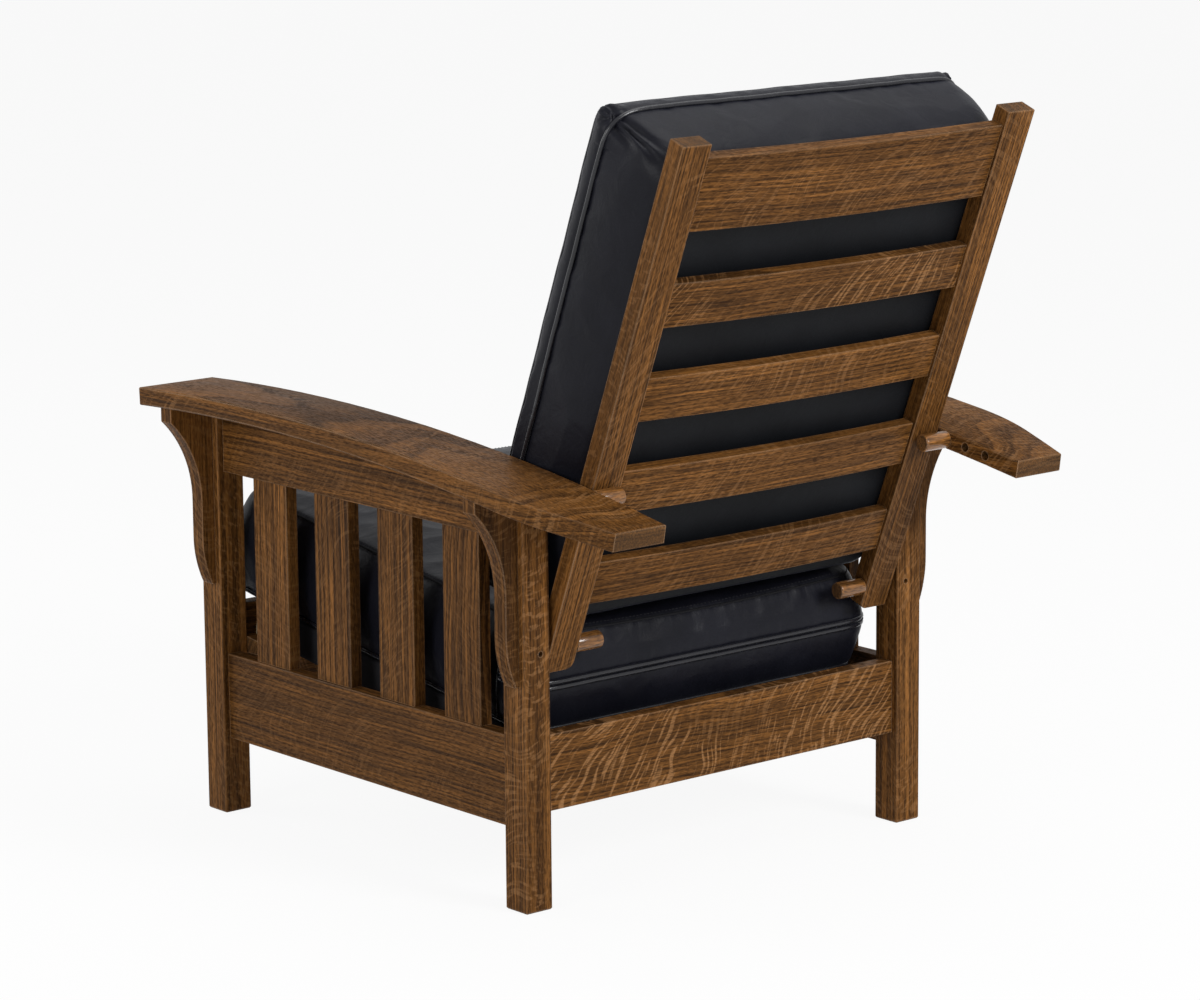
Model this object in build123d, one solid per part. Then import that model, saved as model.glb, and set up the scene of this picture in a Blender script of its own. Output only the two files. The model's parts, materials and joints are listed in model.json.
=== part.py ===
from build123d import *
import math
import os

# Every length is in millimetres and every angle in degrees.
# X runs to the sitter's left, Y to the rear and Z up, from the floor.

# Legs
leg_side = 44.0
width_over_legs = 714.0
depth_over_legs = 720.0
leg_edge_round = 2.5
leg_foot_chamfer = 2.0

# Joinery that the boards share
tenon_fit = 0.1
tenon_end_gap = 1.0
tenon_shoulder = 9.0
tenon_thickness_share = 0.5
rail_tenon_length = 15.0
slat_tenon_length = 12.0
arm_tenon_side = 22.0
arm_tenon_length = 14.0
edge_round = 1.5

# Side panels, front rail and rear rail
rail_thickness = 23.5
rail_inset = 10.0
side_rail_bottom = 108.5
side_rail_top = 231.5
upper_rail_below_crown = 128.1
upper_tenon_height = 48.0
slats_per_side = 4
side_slat_width = 77.0
side_slat_thickness = 19.0
side_slat_recess = 0.5
rear_rail_bottom = 129.5
rear_rail_top = 233.0
front_rail_height = 127.0
front_rail_below_deck = 5.6

# Arms, each bent to one arc and tapered behind the rear leg
arm_thickness = 25.4
arm_width = 125.5
arm_bow_radius = 4133.0
arm_crown_height = 621.6
arm_crown_behind_front = 185.7
arm_front_overhang = 25.0
arm_rear_overhang = 231.0
arm_taper_from_leg = 40.0
arm_taper_radius = 337.0
arm_taper_angle = 17.0
arm_edge_round = 2.0

# Corbels under the arms
corbel_thickness = 24.0
corbel_height = 260.0
corbel_reach = 70.0
corbel_nose_height = 22.0
corbel_stem_width = 21.0
corbel_hollow_height = 138.0
corbel_stem_height = 193.0
corbel_toe_width = 6.0
corbel_edge_round = 1.0

# Pegs, pivot pins and their holes
peg_head_diameter = 24.0
peg_head_length = 44.6
peg_shank_diameter = 12.7
peg_hole_depth = 25.0
peg_end_round = 3.0
running_clearance = 0.05
first_hole_behind_leg = 91.5
hole_pitch = 38.1
holes_per_arm = 3
pivot_height = 346.0
pivot_behind_leg_centre = 3.4
lock_screw_inset = 16.0
lock_bore_diameter = 7.5
lock_bore_depth = 9.0
lock_screw_diameter = 4.0
lock_screw_head_diameter = 7.0
lock_screw_head_height = 3.0
lock_screw_length = 24.0
screw_fit = 0.1

# Back frame
post_width = 48.5
post_depth = 26.3
post_side_gap = 5.3
post_behind_pivot = 11.5
post_below_pivot = 31.5
post_above_pivot = 733.5
post_foot_round = 12.0
top_rail_below_post = 20.7
top_rail_height = 104.0
top_rail_thickness = 17.8
back_slat_count = 4
back_slat_height = 63.5
back_slat_gap = 72.6
back_slat_thickness = 16.7
back_slat_recess = 4.4
back_bow = 6.5

# Gap between pieces of different moving bodies
rest_gap = 0.3

# Seat deck, a sprung frame in a black cover
seat_slope = 8.2
deck_rear_y = 297.0
deck_rear_height = 213.5
deck_front_gap = 4.0
deck_side_gap = 27.5
deck_height = 50.0
deck_member_thickness = 22.0
deck_cover_thickness = 1.5
deck_pad_thickness = 8.0
cleat_width = 65.0
cleat_height = 25.0
spring_count = 5
spring_wire = 3.5
spring_width = 46.0
spring_pitch = 44.0
spring_bend_radius = 6.0
spring_below_top = 2.0
clip_width = 14.0
clip_wall = 1.5
screw_diameter = 4.5
screw_head_diameter = 8.5
screw_head_height = 2.5
screw_length = 38.0
cleat_screw_count = 4
cleat_screw_share = 0.84
deck_screw_half_spread = 230.0

# Seat cushion, boxed, with its sides drawn in at both seams
seat_cushion_half_width = 305.0
seat_cushion_depth = 694.0
seat_cushion_corner = 22.0
seat_cushion_rear_reach = 3.0
seat_seam_inset = 5.0
seat_foot_round = 8.0
seat_boxing = 141.0
seat_crown = 18.0
seat_crown_reach = 190.0

# Back cushion, its rear edge a wide round and its front crowned
back_cushion_half_width = 311.0
back_cushion_height = 711.0
back_cushion_corner = 44.0
back_cushion_lift = 1.0
back_rear_round_inset = 26.0
back_rear_round_depth = 104.0
back_band = 36.0
back_seam_inset = 4.0
back_crown = 24.0
back_crown_reach = 170.0
round_steps = 5
band_steps = 4
crown_steps = 6

# Places worked out from the sizes above
upper_rail_bottom = arm_crown_height - upper_rail_below_crown
leg_outer_x = width_over_legs / 2
leg_inner_x = leg_outer_x - leg_side
leg_centre_x = leg_outer_x - leg_side / 2
leg_outer_y = depth_over_legs / 2
leg_inner_y = leg_outer_y - leg_side
leg_centre_y = leg_outer_y - leg_side / 2
side_rail_outer_x = leg_outer_x - rail_inset
side_rail_inner_x = side_rail_outer_x - rail_thickness
deck_half_width = side_rail_inner_x - deck_side_gap
end_rail_outer_y = leg_outer_y - rail_inset
end_rail_inner_y = end_rail_outer_y - rail_thickness
arm_crown_y = arm_crown_behind_front - leg_outer_y
arm_bow_z = arm_crown_height - arm_bow_radius
arm_under_radius = arm_bow_radius - arm_thickness
arm_front_y = -leg_outer_y - arm_front_overhang
arm_rear_y = leg_outer_y + arm_rear_overhang
arm_inner_x = leg_inner_x
arm_outer_x = arm_inner_x + arm_width
first_hole_y = leg_outer_y + first_hole_behind_leg
pivot_y = leg_centre_y + pivot_behind_leg_centre
post_outer_x = leg_inner_x - post_side_gap
post_inner_x = post_outer_x - post_width
deck_rise = math.tan(math.radians(seat_slope))
deck_run = deck_rear_y + end_rail_inner_y - deck_front_gap
deck_depth = deck_run / math.cos(math.radians(seat_slope)) - deck_height * deck_rise
front_rail_top = deck_rear_height + (deck_rear_y + end_rail_inner_y) * deck_rise - front_rail_below_deck
front_rail_bottom = front_rail_top - front_rail_height
cut_overrun = leg_side


def arm_height(y, depth):
    """Height of the arm's arc at y, at a depth below its top face."""
    radius = arm_bow_radius - depth
    return arm_bow_z + math.sqrt(radius**2 - (y - arm_crown_y) ** 2)


first_hole_z = arm_height(first_hole_y, arm_thickness / 2)
hole_reach = math.hypot(first_hole_y - pivot_y, first_hole_z - pivot_height)
hole_angle = math.degrees(math.atan2(first_hole_y - pivot_y, first_hole_z - pivot_height))
post_to_peg = post_behind_pivot + peg_head_diameter / 2 + rest_gap
back_tilt = hole_angle - math.degrees(math.asin(post_to_peg / hole_reach))

back_place = Pos(0, pivot_y, pivot_height) * Rot(-back_tilt, 0, 0)
deck_place = Pos(0, deck_rear_y, deck_rear_height) * Rot(-seat_slope, 0, 0)


def block(x_limits, y_limits, z_limits):
    """A box between a pair of limits along each axis."""
    limits = (x_limits, y_limits, z_limits)
    middle = [(low + high) / 2 for low, high in limits]
    size = [abs(high - low) for low, high in limits]
    return Pos(*middle) * Box(*size)


def rod_x(diameter, x_limits, y, z):
    """A round rod along X."""
    low, high = x_limits
    return Pos((low + high) / 2, y, z) * Rot(0, 90, 0) * Cylinder(diameter / 2, abs(high - low))


def rod_y(diameter, y_limits, x, z):
    """A round rod along Y."""
    low, high = y_limits
    return Pos(x, (low + high) / 2, z) * Rot(90, 0, 0) * Cylinder(diameter / 2, abs(high - low))


def rod_z(diameter, z_limits, x, y):
    """A round rod along Z."""
    low, high = z_limits
    return Pos(x, y, (low + high) / 2) * Cylinder(diameter / 2, abs(high - low))


def grown(limits, gap):
    """A pair of limits with a gap added at both ends."""
    low, high = min(limits), max(limits)
    return (low - gap, high + gap)


def eased_block(x_limits, y_limits, z_limits, axis, radius):
    """A board with its four edges along one axis rounded."""
    board = block(x_limits, y_limits, z_limits)
    return fillet(board.edges().filter_by(axis), radius)


def under_arm():
    """Everything below the arms' underside, for cutting the tops that meet it."""
    width = width_over_legs + 4 * arm_width
    return Pos(0, arm_crown_y, arm_bow_z) * Rot(0, 90, 0) * Cylinder(arm_under_radius, width)


def other_side(piece):
    """The piece's mirror image on the sitter's right."""
    return mirror(piece, about=Plane.YZ)


# Joinery places: each tenon is a block, and its mortise is that block grown by the fit


def side_tenon(z_limits, toward):
    """Tenon of a side rail in the front (-1) or rear (+1) leg, on the sitter's left."""
    middle = (side_rail_inner_x + side_rail_outer_x) / 2
    half = rail_thickness * tenon_thickness_share / 2
    y_limits = (toward * leg_inner_y, toward * (leg_inner_y + rail_tenon_length))
    return (middle - half, middle + half), y_limits, z_limits


def end_tenon(z_limits, toward):
    """Tenon of the front (-1) or rear (+1) rail in the leg on the sitter's left."""
    middle = toward * (end_rail_inner_y + end_rail_outer_y) / 2
    half = rail_thickness * tenon_thickness_share / 2
    return (leg_inner_x, leg_inner_x + rail_tenon_length), (middle - half, middle + half), z_limits


def side_slat_middles():
    """Y of each side slat's middle: equal gaps between the legs."""
    free = 2 * leg_inner_y - slats_per_side * side_slat_width
    gap = free / (slats_per_side + 1)
    first = -leg_inner_y + gap + side_slat_width / 2
    return [first + i * (gap + side_slat_width) for i in range(slats_per_side)]


def side_slat_tenon(y_middle, z_limits):
    """Tenon at one end of a side slat."""
    inner = side_rail_inner_x + side_slat_recess
    middle = inner + side_slat_thickness / 2
    half = side_slat_thickness * tenon_thickness_share / 2
    half_width = side_slat_width / 2 - tenon_shoulder
    return (middle - half, middle + half), (y_middle - half_width, y_middle + half_width), z_limits


def mortise(tenon):
    """The pocket that takes a tenon, a little wider and deeper than it."""
    x_limits, y_limits, z_limits = tenon
    pocket = block(grown(x_limits, tenon_fit), grown(y_limits, tenon_fit), grown(z_limits, tenon_fit))
    return pocket


side_low_tenon_z = (side_rail_bottom + tenon_shoulder, side_rail_top - tenon_shoulder)
side_high_tenon_z = (upper_rail_bottom + tenon_shoulder, upper_rail_bottom + tenon_shoulder + upper_tenon_height)
rear_tenon_z = (rear_rail_bottom + tenon_shoulder, rear_rail_top - tenon_shoulder)
front_tenon_z = (front_rail_bottom + tenon_shoulder, front_rail_top - tenon_shoulder)
slat_low_tenon_z = (side_rail_top - slat_tenon_length, side_rail_top)
slat_high_tenon_z = (upper_rail_bottom, upper_rail_bottom + slat_tenon_length)


def arm_tenon_limits(y_middle):
    """Square tenon on a leg's top, in the arm above it."""
    half = arm_tenon_side / 2
    under = arm_height(y_middle, arm_thickness)
    x_limits = (leg_centre_x - half, leg_centre_x + half)
    return x_limits, (y_middle - half, y_middle + half), (under - half, under + arm_tenon_length)


def pivot_shank_bore(x_limits, clearance):
    """The round hole that a pivot pin's shank passes."""
    return rod_x(peg_shank_diameter + 2 * clearance, x_limits, pivot_y, pivot_height)


def lock_screw_bores():
    """Counterbore and pilot of the screw that locks a pivot pin, from the leg's rear face."""
    x = leg_inner_x + lock_screw_inset
    floor = leg_outer_y - lock_bore_depth
    tip = floor - lock_screw_length - tenon_end_gap
    wide = rod_y(lock_bore_diameter, (floor, leg_outer_y + cut_overrun), x, pivot_height)
    narrow = rod_y(lock_screw_diameter + 2 * screw_fit, (tip, leg_outer_y), x, pivot_height)
    return wide + narrow


def leg(toward):
    """Left leg, front (-1) or rear (+1), with its mortises and the tenon under the arm."""
    y_middle = toward * leg_centre_y
    x_limits = (leg_inner_x, leg_outer_x)
    y_limits = (toward * leg_inner_y, toward * leg_outer_y)
    body = eased_block(x_limits, y_limits, (0, arm_crown_height), Axis.Z, leg_edge_round)
    body = chamfer(body.faces().sort_by(Axis.Z)[0].edges(), leg_foot_chamfer)
    body = body & under_arm()
    body = body + block(*arm_tenon_limits(y_middle))
    body = body - mortise(side_tenon(side_low_tenon_z, toward))
    body = body - mortise(side_tenon(side_high_tenon_z, toward))
    body = body - mortise(end_tenon(front_tenon_z if toward < 0 else rear_tenon_z, toward))
    if toward > 0:
        end_x = leg_inner_x + peg_hole_depth + tenon_end_gap
        body = body - pivot_shank_bore((leg_inner_x - cut_overrun, end_x), running_clearance)
        body = body - lock_screw_bores()
    return body


def side_rail(z_limits, tenon_z, slat_tenon_z):
    """A side rail on the sitter's left, with its end tenons and the slats' mortises."""
    x_limits = (side_rail_inner_x, side_rail_outer_x)
    rail = eased_block(x_limits, (-leg_inner_y, leg_inner_y), z_limits, Axis.Y, edge_round)
    for toward in (-1, 1):
        rail = rail + block(*side_tenon(tenon_z, toward))
    for y_middle in side_slat_middles():
        rail = rail - mortise(side_slat_tenon(y_middle, slat_tenon_z))
    return rail


def lower_side_rail():
    """Lower side rail, a plain board on edge."""
    return side_rail((side_rail_bottom, side_rail_top), side_low_tenon_z, slat_low_tenon_z)


def upper_side_rail():
    """Upper side rail, its top cut to the arm's underside."""
    rail = side_rail((upper_rail_bottom, arm_crown_height), side_high_tenon_z, slat_high_tenon_z)
    return rail & under_arm()


def side_slat(y_middle):
    """An upright side slat, tenoned into both side rails."""
    inner = side_rail_inner_x + side_slat_recess
    x_limits = (inner, inner + side_slat_thickness)
    y_limits = (y_middle - side_slat_width / 2, y_middle + side_slat_width / 2)
    slat = eased_block(x_limits, y_limits, (side_rail_top, upper_rail_bottom), Axis.Z, edge_round)
    for tenon_z in (slat_low_tenon_z, slat_high_tenon_z):
        slat = slat + block(*side_slat_tenon(y_middle, tenon_z))
    return slat


def end_rail(z_limits, tenon_z, toward):
    """The front (-1) or rear (+1) rail between the legs, with the cleat screws' holes."""
    y_limits = (toward * end_rail_inner_y, toward * end_rail_outer_y)
    rail = eased_block((-leg_inner_x, leg_inner_x), y_limits, z_limits, Axis.X, edge_round)
    tenon = block(*end_tenon(tenon_z, toward))
    rail = rail + tenon + other_side(tenon)
    for screw in cleat_screws_on(toward):
        rail = rail - screw
    return rail


def arm_side_face():
    """Side view of an arm: two arcs about one centre, with ends square to them."""
    front_angle = math.asin((arm_front_y - arm_crown_y) / arm_bow_radius)
    rear_angle = math.asin((arm_rear_y - arm_crown_y) / arm_bow_radius)

    def point(angle, radius):
        return (0, arm_crown_y + radius * math.sin(angle), arm_bow_z + radius * math.cos(angle))

    middle_angle = (front_angle + rear_angle) / 2
    upper, lower = arm_bow_radius, arm_under_radius
    return make_face([
        ThreePointArc(point(front_angle, upper), point(middle_angle, upper), point(rear_angle, upper)),
        Line(point(rear_angle, upper), point(rear_angle, lower)),
        ThreePointArc(point(rear_angle, lower), point(middle_angle, lower), point(front_angle, lower)),
        Line(point(front_angle, lower), point(front_angle, upper)),
    ])


def arm_plan_face():
    """Plan of an arm: straight edges, then the outer edge bends in behind the rear leg."""
    low, high = arm_front_y - cut_overrun, arm_rear_y + cut_overrun
    taper_start = (arm_outer_x, leg_outer_y + arm_taper_from_leg)
    bend = JernArc(start=taper_start, tangent=(0, 1), radius=arm_taper_radius, arc_size=arm_taper_angle)
    bend_end = bend @ 1
    rear_x = bend_end.X - (high - bend_end.Y) * math.tan(math.radians(arm_taper_angle))
    return make_face([
        Line((arm_outer_x, low), taper_start),
        bend,
        Line(bend_end, (rear_x, high)),
        Line((rear_x, high), (arm_inner_x, high)),
        Line((arm_inner_x, high), (arm_inner_x, low)),
        Line((arm_inner_x, low), (arm_outer_x, low)),
    ])


def peg_hole_places():
    """Y and Z of the peg holes in an arm, on its middle line."""
    ys = [first_hole_y + i * hole_pitch for i in range(holes_per_arm)]
    return [(y, arm_height(y, arm_thickness / 2)) for y in ys]


def arm():
    """Left arm: bent, tapered, mortised for both legs and bored for the pegs."""
    bar = Pos(arm_inner_x - cut_overrun, 0, 0) * extrude(arm_side_face(), arm_width + 2 * cut_overrun, dir=(1, 0, 0))
    body = bar & extrude(arm_plan_face(), arm_crown_height + cut_overrun, dir=(0, 0, 1))
    rims = [edge for edge in body.edges() if edge.length > arm_thickness + cut_overrun / 2]
    body = fillet(rims, arm_edge_round)
    for toward in (-1, 1):
        body = body - mortise(arm_tenon_limits(toward * leg_centre_y))
    for y, z in peg_hole_places():
        hole_limits = (arm_inner_x - cut_overrun, arm_inner_x + peg_hole_depth + tenon_end_gap)
        body = body - rod_x(peg_shank_diameter + 2 * running_clearance, hole_limits, y, z)
    return body


def corbel_face():
    """Side view of a corbel from the leg's face outwards and from its top down."""
    hollow_top = (corbel_reach, -corbel_nose_height)
    hollow_end = (corbel_stem_width, -corbel_hollow_height)
    stem_end = (corbel_stem_width, -corbel_stem_height)
    toe = (corbel_toe_width, -corbel_height)
    top = cut_overrun
    return make_face([
        Line((0, top), (corbel_reach, top)),
        Line((corbel_reach, top), hollow_top),
        TangentArc(hollow_end, hollow_top, tangent=(0, 1)),
        Line(hollow_end, stem_end),
        TangentArc(stem_end, toe, tangent=(0, -1)),
        Line(toe, (0, -corbel_height)),
        Line((0, -corbel_height), (0, top)),
    ])


def corbel(toward):
    """Left corbel on the front (-1) or rear (+1) leg, its top cut to the arm's underside."""
    y_middle = toward * leg_centre_y
    place = Plane(
        origin=(leg_outer_x, y_middle + corbel_thickness / 2, arm_height(y_middle, arm_thickness)),
        x_dir=(1, 0, 0), z_dir=(0, -1, 0),
    )
    blank = extrude(place * corbel_face(), corbel_thickness, dir=(0, -1, 0))
    sides = blank.faces().filter_by(Axis.Y)
    edges = [edge for face in sides for edge in face.edges() if edge.center().X > leg_outer_x + corbel_edge_round]
    return fillet(edges, corbel_edge_round) & under_arm()


def peg(head_outer_x, shank_end_x, y, z):
    """A turned peg along X: a thick head towards the middle and a thin shank outwards."""
    head_inner_x = head_outer_x - peg_head_length
    head = rod_x(peg_head_diameter, (head_inner_x, head_outer_x), y, z)
    head = fillet(head.edges().group_by(Axis.X)[0], peg_end_round)
    return head + rod_x(peg_shank_diameter, (head_outer_x, shank_end_x), y, z)


def adjusting_peg():
    """Left adjusting peg, in the arm's first hole, behind the back post."""
    y, z = peg_hole_places()[0]
    return peg(arm_inner_x - rest_gap, arm_inner_x + peg_hole_depth, y, z)


def pivot_pin():
    """Left pivot pin, through the back post into the rear leg, crossed by its screw."""
    pin = peg(post_inner_x - rest_gap, leg_inner_x + peg_hole_depth, pivot_y, pivot_height)
    return pin - lock_screw_bores()


def lock_screw():
    """Screw sunk in the rear leg's back that keeps the left pivot pin in."""
    x = leg_inner_x + lock_screw_inset
    seat = leg_outer_y - lock_bore_depth
    head = rod_y(lock_screw_head_diameter, (seat, seat + lock_screw_head_height), x, pivot_height)
    return head + rod_y(lock_screw_diameter, (seat - lock_screw_length, seat), x, pivot_height)


# The back frame is drawn upright about the pivot, then tilted by back_place

post_rear_n = post_behind_pivot
post_front_n = post_rear_n - post_depth
slat_rear_n = post_rear_n - back_slat_recess
top_rail_top = post_above_pivot - top_rail_below_post
top_rail_bottom = top_rail_top - top_rail_height


def back_board_limits():
    """Lower edge, upper edge and thickness of the top rail and each back slat."""
    boards = [(top_rail_bottom, top_rail_top, top_rail_thickness)]
    top = top_rail_bottom - back_slat_gap
    for _ in range(back_slat_count):
        boards.append((top - back_slat_height, top, back_slat_thickness))
        top -= back_slat_height + back_slat_gap
    return boards


def back_board_tenon(low, high, thickness):
    """Tenon of a back board in the post on the sitter's left."""
    middle = slat_rear_n - thickness / 2
    half = thickness * tenon_thickness_share / 2
    x_limits = (post_inner_x - edge_round, post_inner_x + slat_tenon_length)
    return x_limits, (middle - half, middle + half), (low + tenon_shoulder, high - tenon_shoulder)


def back_board(low, high, thickness):
    """The top rail or a back slat: one thickness, bowed to the rear between the posts."""
    x = post_inner_x
    rear, front = slat_rear_n, slat_rear_n - thickness
    section = make_face([
        ThreePointArc((-x, rear), (0, rear + back_bow), (x, rear)),
        Line((x, rear), (x, front)),
        ThreePointArc((x, front), (0, front + back_bow), (-x, front)),
        Line((-x, front), (-x, rear)),
    ])
    board = extrude(Pos(0, 0, low) * section, high - low, dir=(0, 0, 1))
    board = fillet(board.edges().filter_by(GeomType.CIRCLE), edge_round)
    tenon = block(*back_board_tenon(low, high, thickness))
    return back_place * (board + tenon + other_side(tenon))


def back_post():
    """Left back post, mortised for the boards and bored for the pivot pin."""
    n_limits = (post_front_n, post_rear_n)
    post = block((post_inner_x, post_outer_x), n_limits, (-post_below_pivot, post_above_pivot))
    foot = post.edges().filter_by(Axis.Y).sort_by(Axis.Z)[:2].sort_by(Axis.X)[0]
    post = fillet(foot, post_foot_round)
    top_rim = post.faces().sort_by(Axis.Z)[-1].edges()
    long_edges = [edge for edge in post.edges().filter_by(Axis.Z)]
    post = fillet(long_edges + list(top_rim), edge_round)
    for limits in back_board_limits():
        post = post - mortise(back_board_tenon(*limits))
    bore = Rot(0, 90, 0) * Cylinder(peg_shank_diameter / 2 + running_clearance, 4 * post_outer_x)
    return back_place * (post - bore)


# The seat deck is drawn level from its top rear edge, then sloped by deck_place

frame_half_width = deck_half_width - deck_cover_thickness
frame_rear_y = -deck_cover_thickness
frame_front_y = -deck_depth + deck_cover_thickness
pad_top = -deck_cover_thickness
frame_top = pad_top - deck_pad_thickness
spring_top = frame_top - spring_below_top
spring_bottom = spring_top - spring_wire


def below_deck():
    """The space under the deck's bottom face."""
    reach = deck_depth
    return deck_place * block((-reach, reach), (-2 * reach, reach), (-deck_height - reach, -deck_height))


def deck_member_cross(rear_face_y, rebate_y):
    """Front or rear member of the deck frame, rebated on top for the spring clips."""
    x_limits = (-frame_half_width, frame_half_width)
    y_limits = (rear_face_y - deck_member_thickness, rear_face_y)
    member = block(x_limits, y_limits, (-deck_height, frame_top))
    return member - block(x_limits, rebate_y, (spring_bottom - clip_wall, frame_top))


def spring_middles():
    """X of each seat spring's middle line."""
    step = 2 * frame_half_width / (spring_count + 1)
    return [-frame_half_width + step * (i + 1) for i in range(spring_count)]


def front_rebate_y():
    """Y limits of the front member's rebate, its inner half."""
    return (frame_front_y + deck_member_thickness / 2, frame_front_y + deck_member_thickness)


def rear_rebate_y():
    """Y limits of the rear member's rebate, its inner half."""
    return (frame_rear_y - deck_member_thickness, frame_rear_y - deck_member_thickness / 2)


def clip_places():
    """X and Y limits of each clip, in the front rebate and in the rear one."""
    return [(x, limits) for limits in (front_rebate_y(), rear_rebate_y()) for x in spring_middles()]


def deck_end_member(toward):
    """Front (-1) or rear (+1) member of the deck frame, with the deck screws' holes."""
    if toward < 0:
        member = deck_member_cross(frame_front_y + deck_member_thickness, front_rebate_y())
    else:
        member = deck_member_cross(frame_rear_y, rear_rebate_y())
    member = deck_place * member
    for screw in deck_screws_on(toward):
        member = member - screw
    return member


def deck_side_member():
    """Left side member of the deck frame, between the front and rear ones."""
    x_limits = (frame_half_width - deck_member_thickness, frame_half_width)
    y_limits = (frame_front_y + deck_member_thickness, frame_rear_y - deck_member_thickness)
    return deck_place * block(x_limits, y_limits, (-deck_height, frame_top))


def deck_springs():
    """Flat zigzag springs from the front clips to the rear ones."""
    clip_middle = 3 * deck_member_thickness / 4
    start, end = frame_front_y + clip_middle, frame_rear_y - clip_middle
    turns = 2 * round((end - start) / spring_pitch)
    step = (end - start) / turns
    half = (spring_width - spring_wire) / 2
    stub = clip_width / 2 - clip_wall
    points = [(-stub, start), (half, start)]
    for i in range(1, turns):
        side = half if i % 2 else -half
        points += [(side, start + i * step), (-side, start + i * step)]
    last_side = half if turns % 2 else -half
    points += [(last_side, end), (-last_side / abs(last_side) * stub, end)]
    path = FilletPolyline(*points, radius=spring_bend_radius)
    shape = trace(path, line_width=spring_wire)
    spring = extrude(Pos(0, 0, spring_bottom) * shape, spring_wire, dir=(0, 0, 1))
    return [deck_place * Pos(x, 0, 0) * spring for x in spring_middles()]


def deck_spring_clips():
    """Small channels, open on top, that hold the springs' ends on the members."""
    clips = []
    for x, y_limits in clip_places():
        half = clip_width / 2
        low = spring_bottom - clip_wall
        clip = block((x - half, x + half), y_limits, (low, spring_top))
        y_middle = sum(y_limits) / 2
        groove_half = spring_wire / 2
        groove_y = (y_middle - groove_half, y_middle + groove_half)
        groove = block((x - clip_width, x + clip_width), groove_y, (spring_bottom, spring_top + clip_wall))
        clips.append(deck_place * (clip - groove))
    return clips


def deck_pad():
    """Thin pad over the springs."""
    x_limits = (-frame_half_width, frame_half_width)
    return deck_place * block(x_limits, (frame_front_y, frame_rear_y), (frame_top, pad_top))


def deck_cover():
    """Black cover over the pad and down the deck's four sides."""
    outer = block((-deck_half_width, deck_half_width), (-deck_depth, 0), (-deck_height, 0))
    x_limits = (-frame_half_width, frame_half_width)
    inner = block(x_limits, (frame_front_y, frame_rear_y), (-deck_height - cut_overrun, pad_top))
    return deck_place * (outer - inner)


def cleat(toward):
    """Ledge on the front (-1) or rear (+1) rail's inner face, under the deck's end."""
    y_limits = (toward * (end_rail_inner_y - cleat_width), toward * end_rail_inner_y)
    lift = deck_height / math.cos(math.radians(seat_slope))
    run = deck_rear_y - toward * end_rail_inner_y
    top = deck_rear_height + run * math.tan(math.radians(seat_slope)) - lift
    board = block((-leg_inner_x, leg_inner_x), y_limits, (top - cleat_height, top + cleat_height))
    board = board & below_deck()
    for screw in cleat_screws_on(toward):
        board = board - screw
    for screw in deck_screws_on(toward):
        board = board - screw
    return board


def cleat_screw_height(toward):
    """Height of the screws through a cleat into its rail."""
    run = deck_rear_y - toward * end_rail_inner_y
    top = deck_rear_height + run * math.tan(math.radians(seat_slope)) - deck_height
    return top - cleat_height / 2


def cleat_screws_on(toward):
    """Screws that hold one cleat to its rail, heads on the cleat's inner face."""
    z = cleat_screw_height(toward)
    inner = toward * (end_rail_inner_y - cleat_width)
    head_end = inner + toward * screw_head_height
    tip = inner + toward * (cleat_width + rail_thickness / 2)
    half = leg_inner_x * cleat_screw_share
    step = 2 * half / (cleat_screw_count - 1)
    screws = []
    for i in range(cleat_screw_count):
        x = -half + i * step
        head = rod_y(screw_head_diameter, (inner, head_end), x, z)
        screws.append(head + rod_y(screw_diameter, (head_end, tip), x, z))
    return screws


def deck_screws_on(toward):
    """Screws up through one cleat into the deck's front or rear member."""
    half_member = deck_member_thickness / 2
    y = frame_rear_y - half_member if toward > 0 else frame_front_y + half_member
    tip = -deck_height + screw_length - cleat_height
    head_low = tip - screw_length
    screws = []
    for x in (-deck_screw_half_spread, deck_screw_half_spread):
        head = rod_z(screw_head_diameter, (head_low, head_low + screw_head_height), x, y)
        shank = rod_z(screw_diameter, (head_low + screw_head_height, tip), x, y)
        screws.append(deck_place * (head + shank))
    return screws


def cushion_profile(foot, seams, band, crown):
    """How far in the outline is drawn at each depth: a round foot, the band, then the crown."""
    foot_inset, foot_depth = foot
    first_inset, second_inset = seams
    crown_height, crown_reach = crown
    profile = []
    for i in range(round_steps):
        angle = math.pi / 2 * i / round_steps
        profile.append((foot_depth * (1 - math.cos(angle)), first_inset + foot_inset * (1 - math.sin(angle))))
    for i in range(band_steps + 1):
        t = i / band_steps
        profile.append((foot_depth + band * t, first_inset * (1 - t) ** 2 + second_inset * t**2))
    for i in range(1, crown_steps + 1):
        angle = math.pi / 2 * i / crown_steps
        depth = foot_depth + band + crown_height * math.sin(angle)
        profile.append((depth, second_inset + crown_reach * (1 - math.cos(angle))))
    return profile


def cushion(half_x, half_s, corner, profile, place_at):
    """A cushion lofted through rounded outlines, one for each depth of its profile."""
    sections = []
    for depth, inset in profile:
        outline = RectangleRounded(2 * (half_x - inset), 2 * (half_s - inset), corner)
        sections.append(place_at(depth) * outline)
    return loft(sections, ruled=True)


def seat_cushion():
    """Boxed seat cushion with a crowned top, on the deck."""
    middle_y = seat_cushion_rear_reach - seat_cushion_depth / 2
    foot = (seat_seam_inset, seat_foot_round)
    crown = (seat_crown, seat_crown_reach)
    profile = cushion_profile(foot, (seat_seam_inset, seat_seam_inset), seat_boxing, crown)

    def place_at(height):
        return Pos(0, middle_y, rest_gap + height)

    half_width, half_depth = seat_cushion_half_width, seat_cushion_depth / 2
    return deck_place * cushion(half_width, half_depth, seat_cushion_corner, profile, place_at)


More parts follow.
